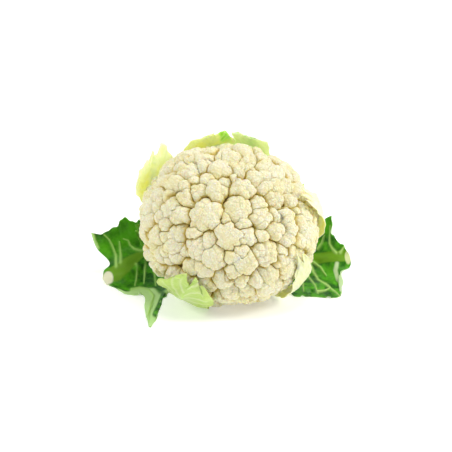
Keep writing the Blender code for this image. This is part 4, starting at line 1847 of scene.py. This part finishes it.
OUTER_LEAVES: tuple[OuterLeaf, ...] = (
    OuterLeaf(
        "outer_leaf_left", LEFT_LEAF, seed=3, rib_at=3.5, rib_width=9.5, rib_depth=8.5,
        fold_from=5.75, cut=(105, 281, 5.5, 7.5),
        net=(
            ((87, 233, 38), (93, 249, 36), (106, 264, 32), (100, 274, 24), (101, 286, 17),
             (112, 290, 8), (116, 291, 4), (118, 292, 3), (120, 293, 2)),
            ((99, 234, 42), (104, 243, 42), (109, 256, 38), (117, 266, 30), (117, 286, 14),
             (121, 290, 7), (126, 294, -3), (127, 296, -5), (128, 298, -8)),
            ((112, 226, 45), (113, 236, 48), (117, 250, 46), (127, 262, 38), (128, 284, 18),
             (132, 288, 10), (136, 291, 3), (137, 294, -3), (138, 297, -9)),
            ((121, 219, 46), (122, 230, 51), (126, 245, 51), (136, 257, 44), (136, 278, 26),
             (141, 286, 15), (145, 290, 5), (144, 295, -4), (143, 299, -12)),
            ((131, 221, 49), (132, 231, 54), (135, 244, 55), (142, 254, 49), (143, 273, 32),
             (148, 285, 15), (152, 291, 1), (151, 303, -26), (148, 317, -58)),
            ((140, 222, 52), (140, 232, 58), (143, 243, 58), (149, 251, 53), (151, 268, 38),
             (156, 283, 20), (160, 296, -10), (157, 308, -33), (154, 325, -74)),
            ((147, 223, 58), (148, 232, 62), (150, 242, 62), (155, 250, 58), (157, 264, 45),
             (162, 279, 27), (165, 292, -2), (163, 300, -14), (159, 307, -28)),
            ((152, 224, 62), (153, 233, 65), (155, 242, 65), (160, 250, 62), (162, 262, 50),
             (167, 276, 34), (169, 287, 10), (167, 294, -3), (165, 300, -12)),
            ((160, 229, 68), (161, 236, 70), (163, 243, 70), (167, 250, 68), (169, 258, 62),
             (172, 268, 50), (173, 278, 34), (172, 284, 20), (171, 288, 12)),
        ),
        veins=(
            ((113, 268), (112, 258), (108, 246), (105, 240), (100, 235)),
            ((142, 252), (136, 252), (130, 250), (126, 246), (124, 241), (119, 239)),
            ((117, 264), (116, 252), (115, 242)),
            ((88, 233), (91, 241), (95, 249)),
            ((133, 266), (134, 276), (133, 288)),
            ((142, 262), (142, 274), (142, 286)),
            ((152, 262), (152, 276), (154, 288)),
            ((130, 292), (138, 290), (148, 292), (153, 297), (151, 306), (149, 316)),
        ),
        stalk=((104, 281, 6.5), (113, 275, 8.0), (124, 266, 6.5), (134, 258, 4.2), (145, 253, 1.8)),
        shade=((163, 296, 3.0), (161, 306, 3.6), (157, 315, 3.0)),
        pale=((87, 233, 1.6), (90, 243, 1.3), (94, 250, 0.6)),
        # Clouds of painted light and painted shade.
        painted_light_and_shade=((130, 230, 11, 1.0), (123, 246, 9, 0.4), (100, 250, 9, 0.8), (112, 234, 8, 0.3),
               (124, 282, 7, 0.4), (156, 272, 20, -0.5)),
    ),
    OuterLeaf(
        "outer_leaf_right", RIGHT_LEAF, seed=8, rib_at=2.5, rib_width=8.0, rib_depth=7.5,
        fold_from=9.0, cut=(352, 259, 3.2, 7.0),
        net=(
            ((348, 245, 44), (350, 250, 42), (354, 257, 38), (354, 268, 31), (345, 272, 26),
             (343, 276, 22), (341, 279, 18)),
            ((343, 243, 46), (345, 248, 44), (344, 255, 40), (342, 268, 30), (343, 278, 22),
             (344, 287, 10), (341, 297, -10)),
            ((337, 234, 48), (337, 242, 48), (336, 253, 44), (332, 267, 34), (334, 278, 24),
             (334, 288, 8), (331, 299, -15)),
            ((334, 217, 51), (331, 232, 52), (328, 252, 49), (322, 266, 39), (322, 279, 25),
             (321, 288, 8), (318, 298, -13)),
            ((325, 221, 56), (322, 236, 57), (319, 251, 55), (312, 264, 45), (311, 279, 29),
             (309, 289, 10), (305, 298, -12)),
            ((315, 224, 62), (312, 237, 63), (309, 250, 60), (302, 261, 54), (299, 276, 38),
             (297, 288, 18), (294, 299, -10)),
            ((304, 230, 68), (301, 239, 69), (298, 249, 67), (291, 258, 62), (288, 270, 50),
             (286, 281, 34), (286, 290, 14)),
        ),
        veins=(
            ((340, 254), (337, 250), (334, 244), (334, 234), (334, 226)),
            ((311, 264), (310, 272), (312, 280), (317, 287), (319, 295)),
            ((313, 264), (317, 274), (321, 282), (330, 288), (336, 293), (340, 298)),
            ((317, 264), (324, 269), (329, 277)),
            ((303, 280), (305, 288), (305, 294)),
            ((319, 293), (327, 292), (332, 290)),
            ((344, 254), (347, 250), (349, 247)),
            ((322, 250), (326, 244), (328, 236)),
        ),
        stalk=((308, 261, 4.6), (322, 260, 5.0), (338, 258, 6.0), (351, 257, 6.0)),
        pale=((341, 265, 1.6), (339, 272, 2.0), (341, 281, 2.0), (344, 286, 1.2)),
        # Clouds of painted light and painted shade.
        painted_light_and_shade=((329, 227, 11, 1.0), (344, 246, 5, 0.8), (333, 276, 8, 0.45), (300, 288, 18, -0.5),
               (326, 246, 8, -0.4)),
    ),
)


def note(piece: Piece) -> None:
    """Report a finished piece."""
    LOG.info("%s: %d faces", piece.name, len(piece.data.polygons))


def main() -> None:
    """Build the studio and every piece in order."""
    logging.basicConfig(level=logging.INFO, format="%(message)s")
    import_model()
    Studio().build()
    for piece in Curd().build():
        note(piece)
    note(Stem().build())
    for leaf in HEAD_LEAVES:
        note(leaf.build())
    for leaf in OUTER_LEAVES:
        note(leaf.build())


if __name__ == "__main__":
    main()
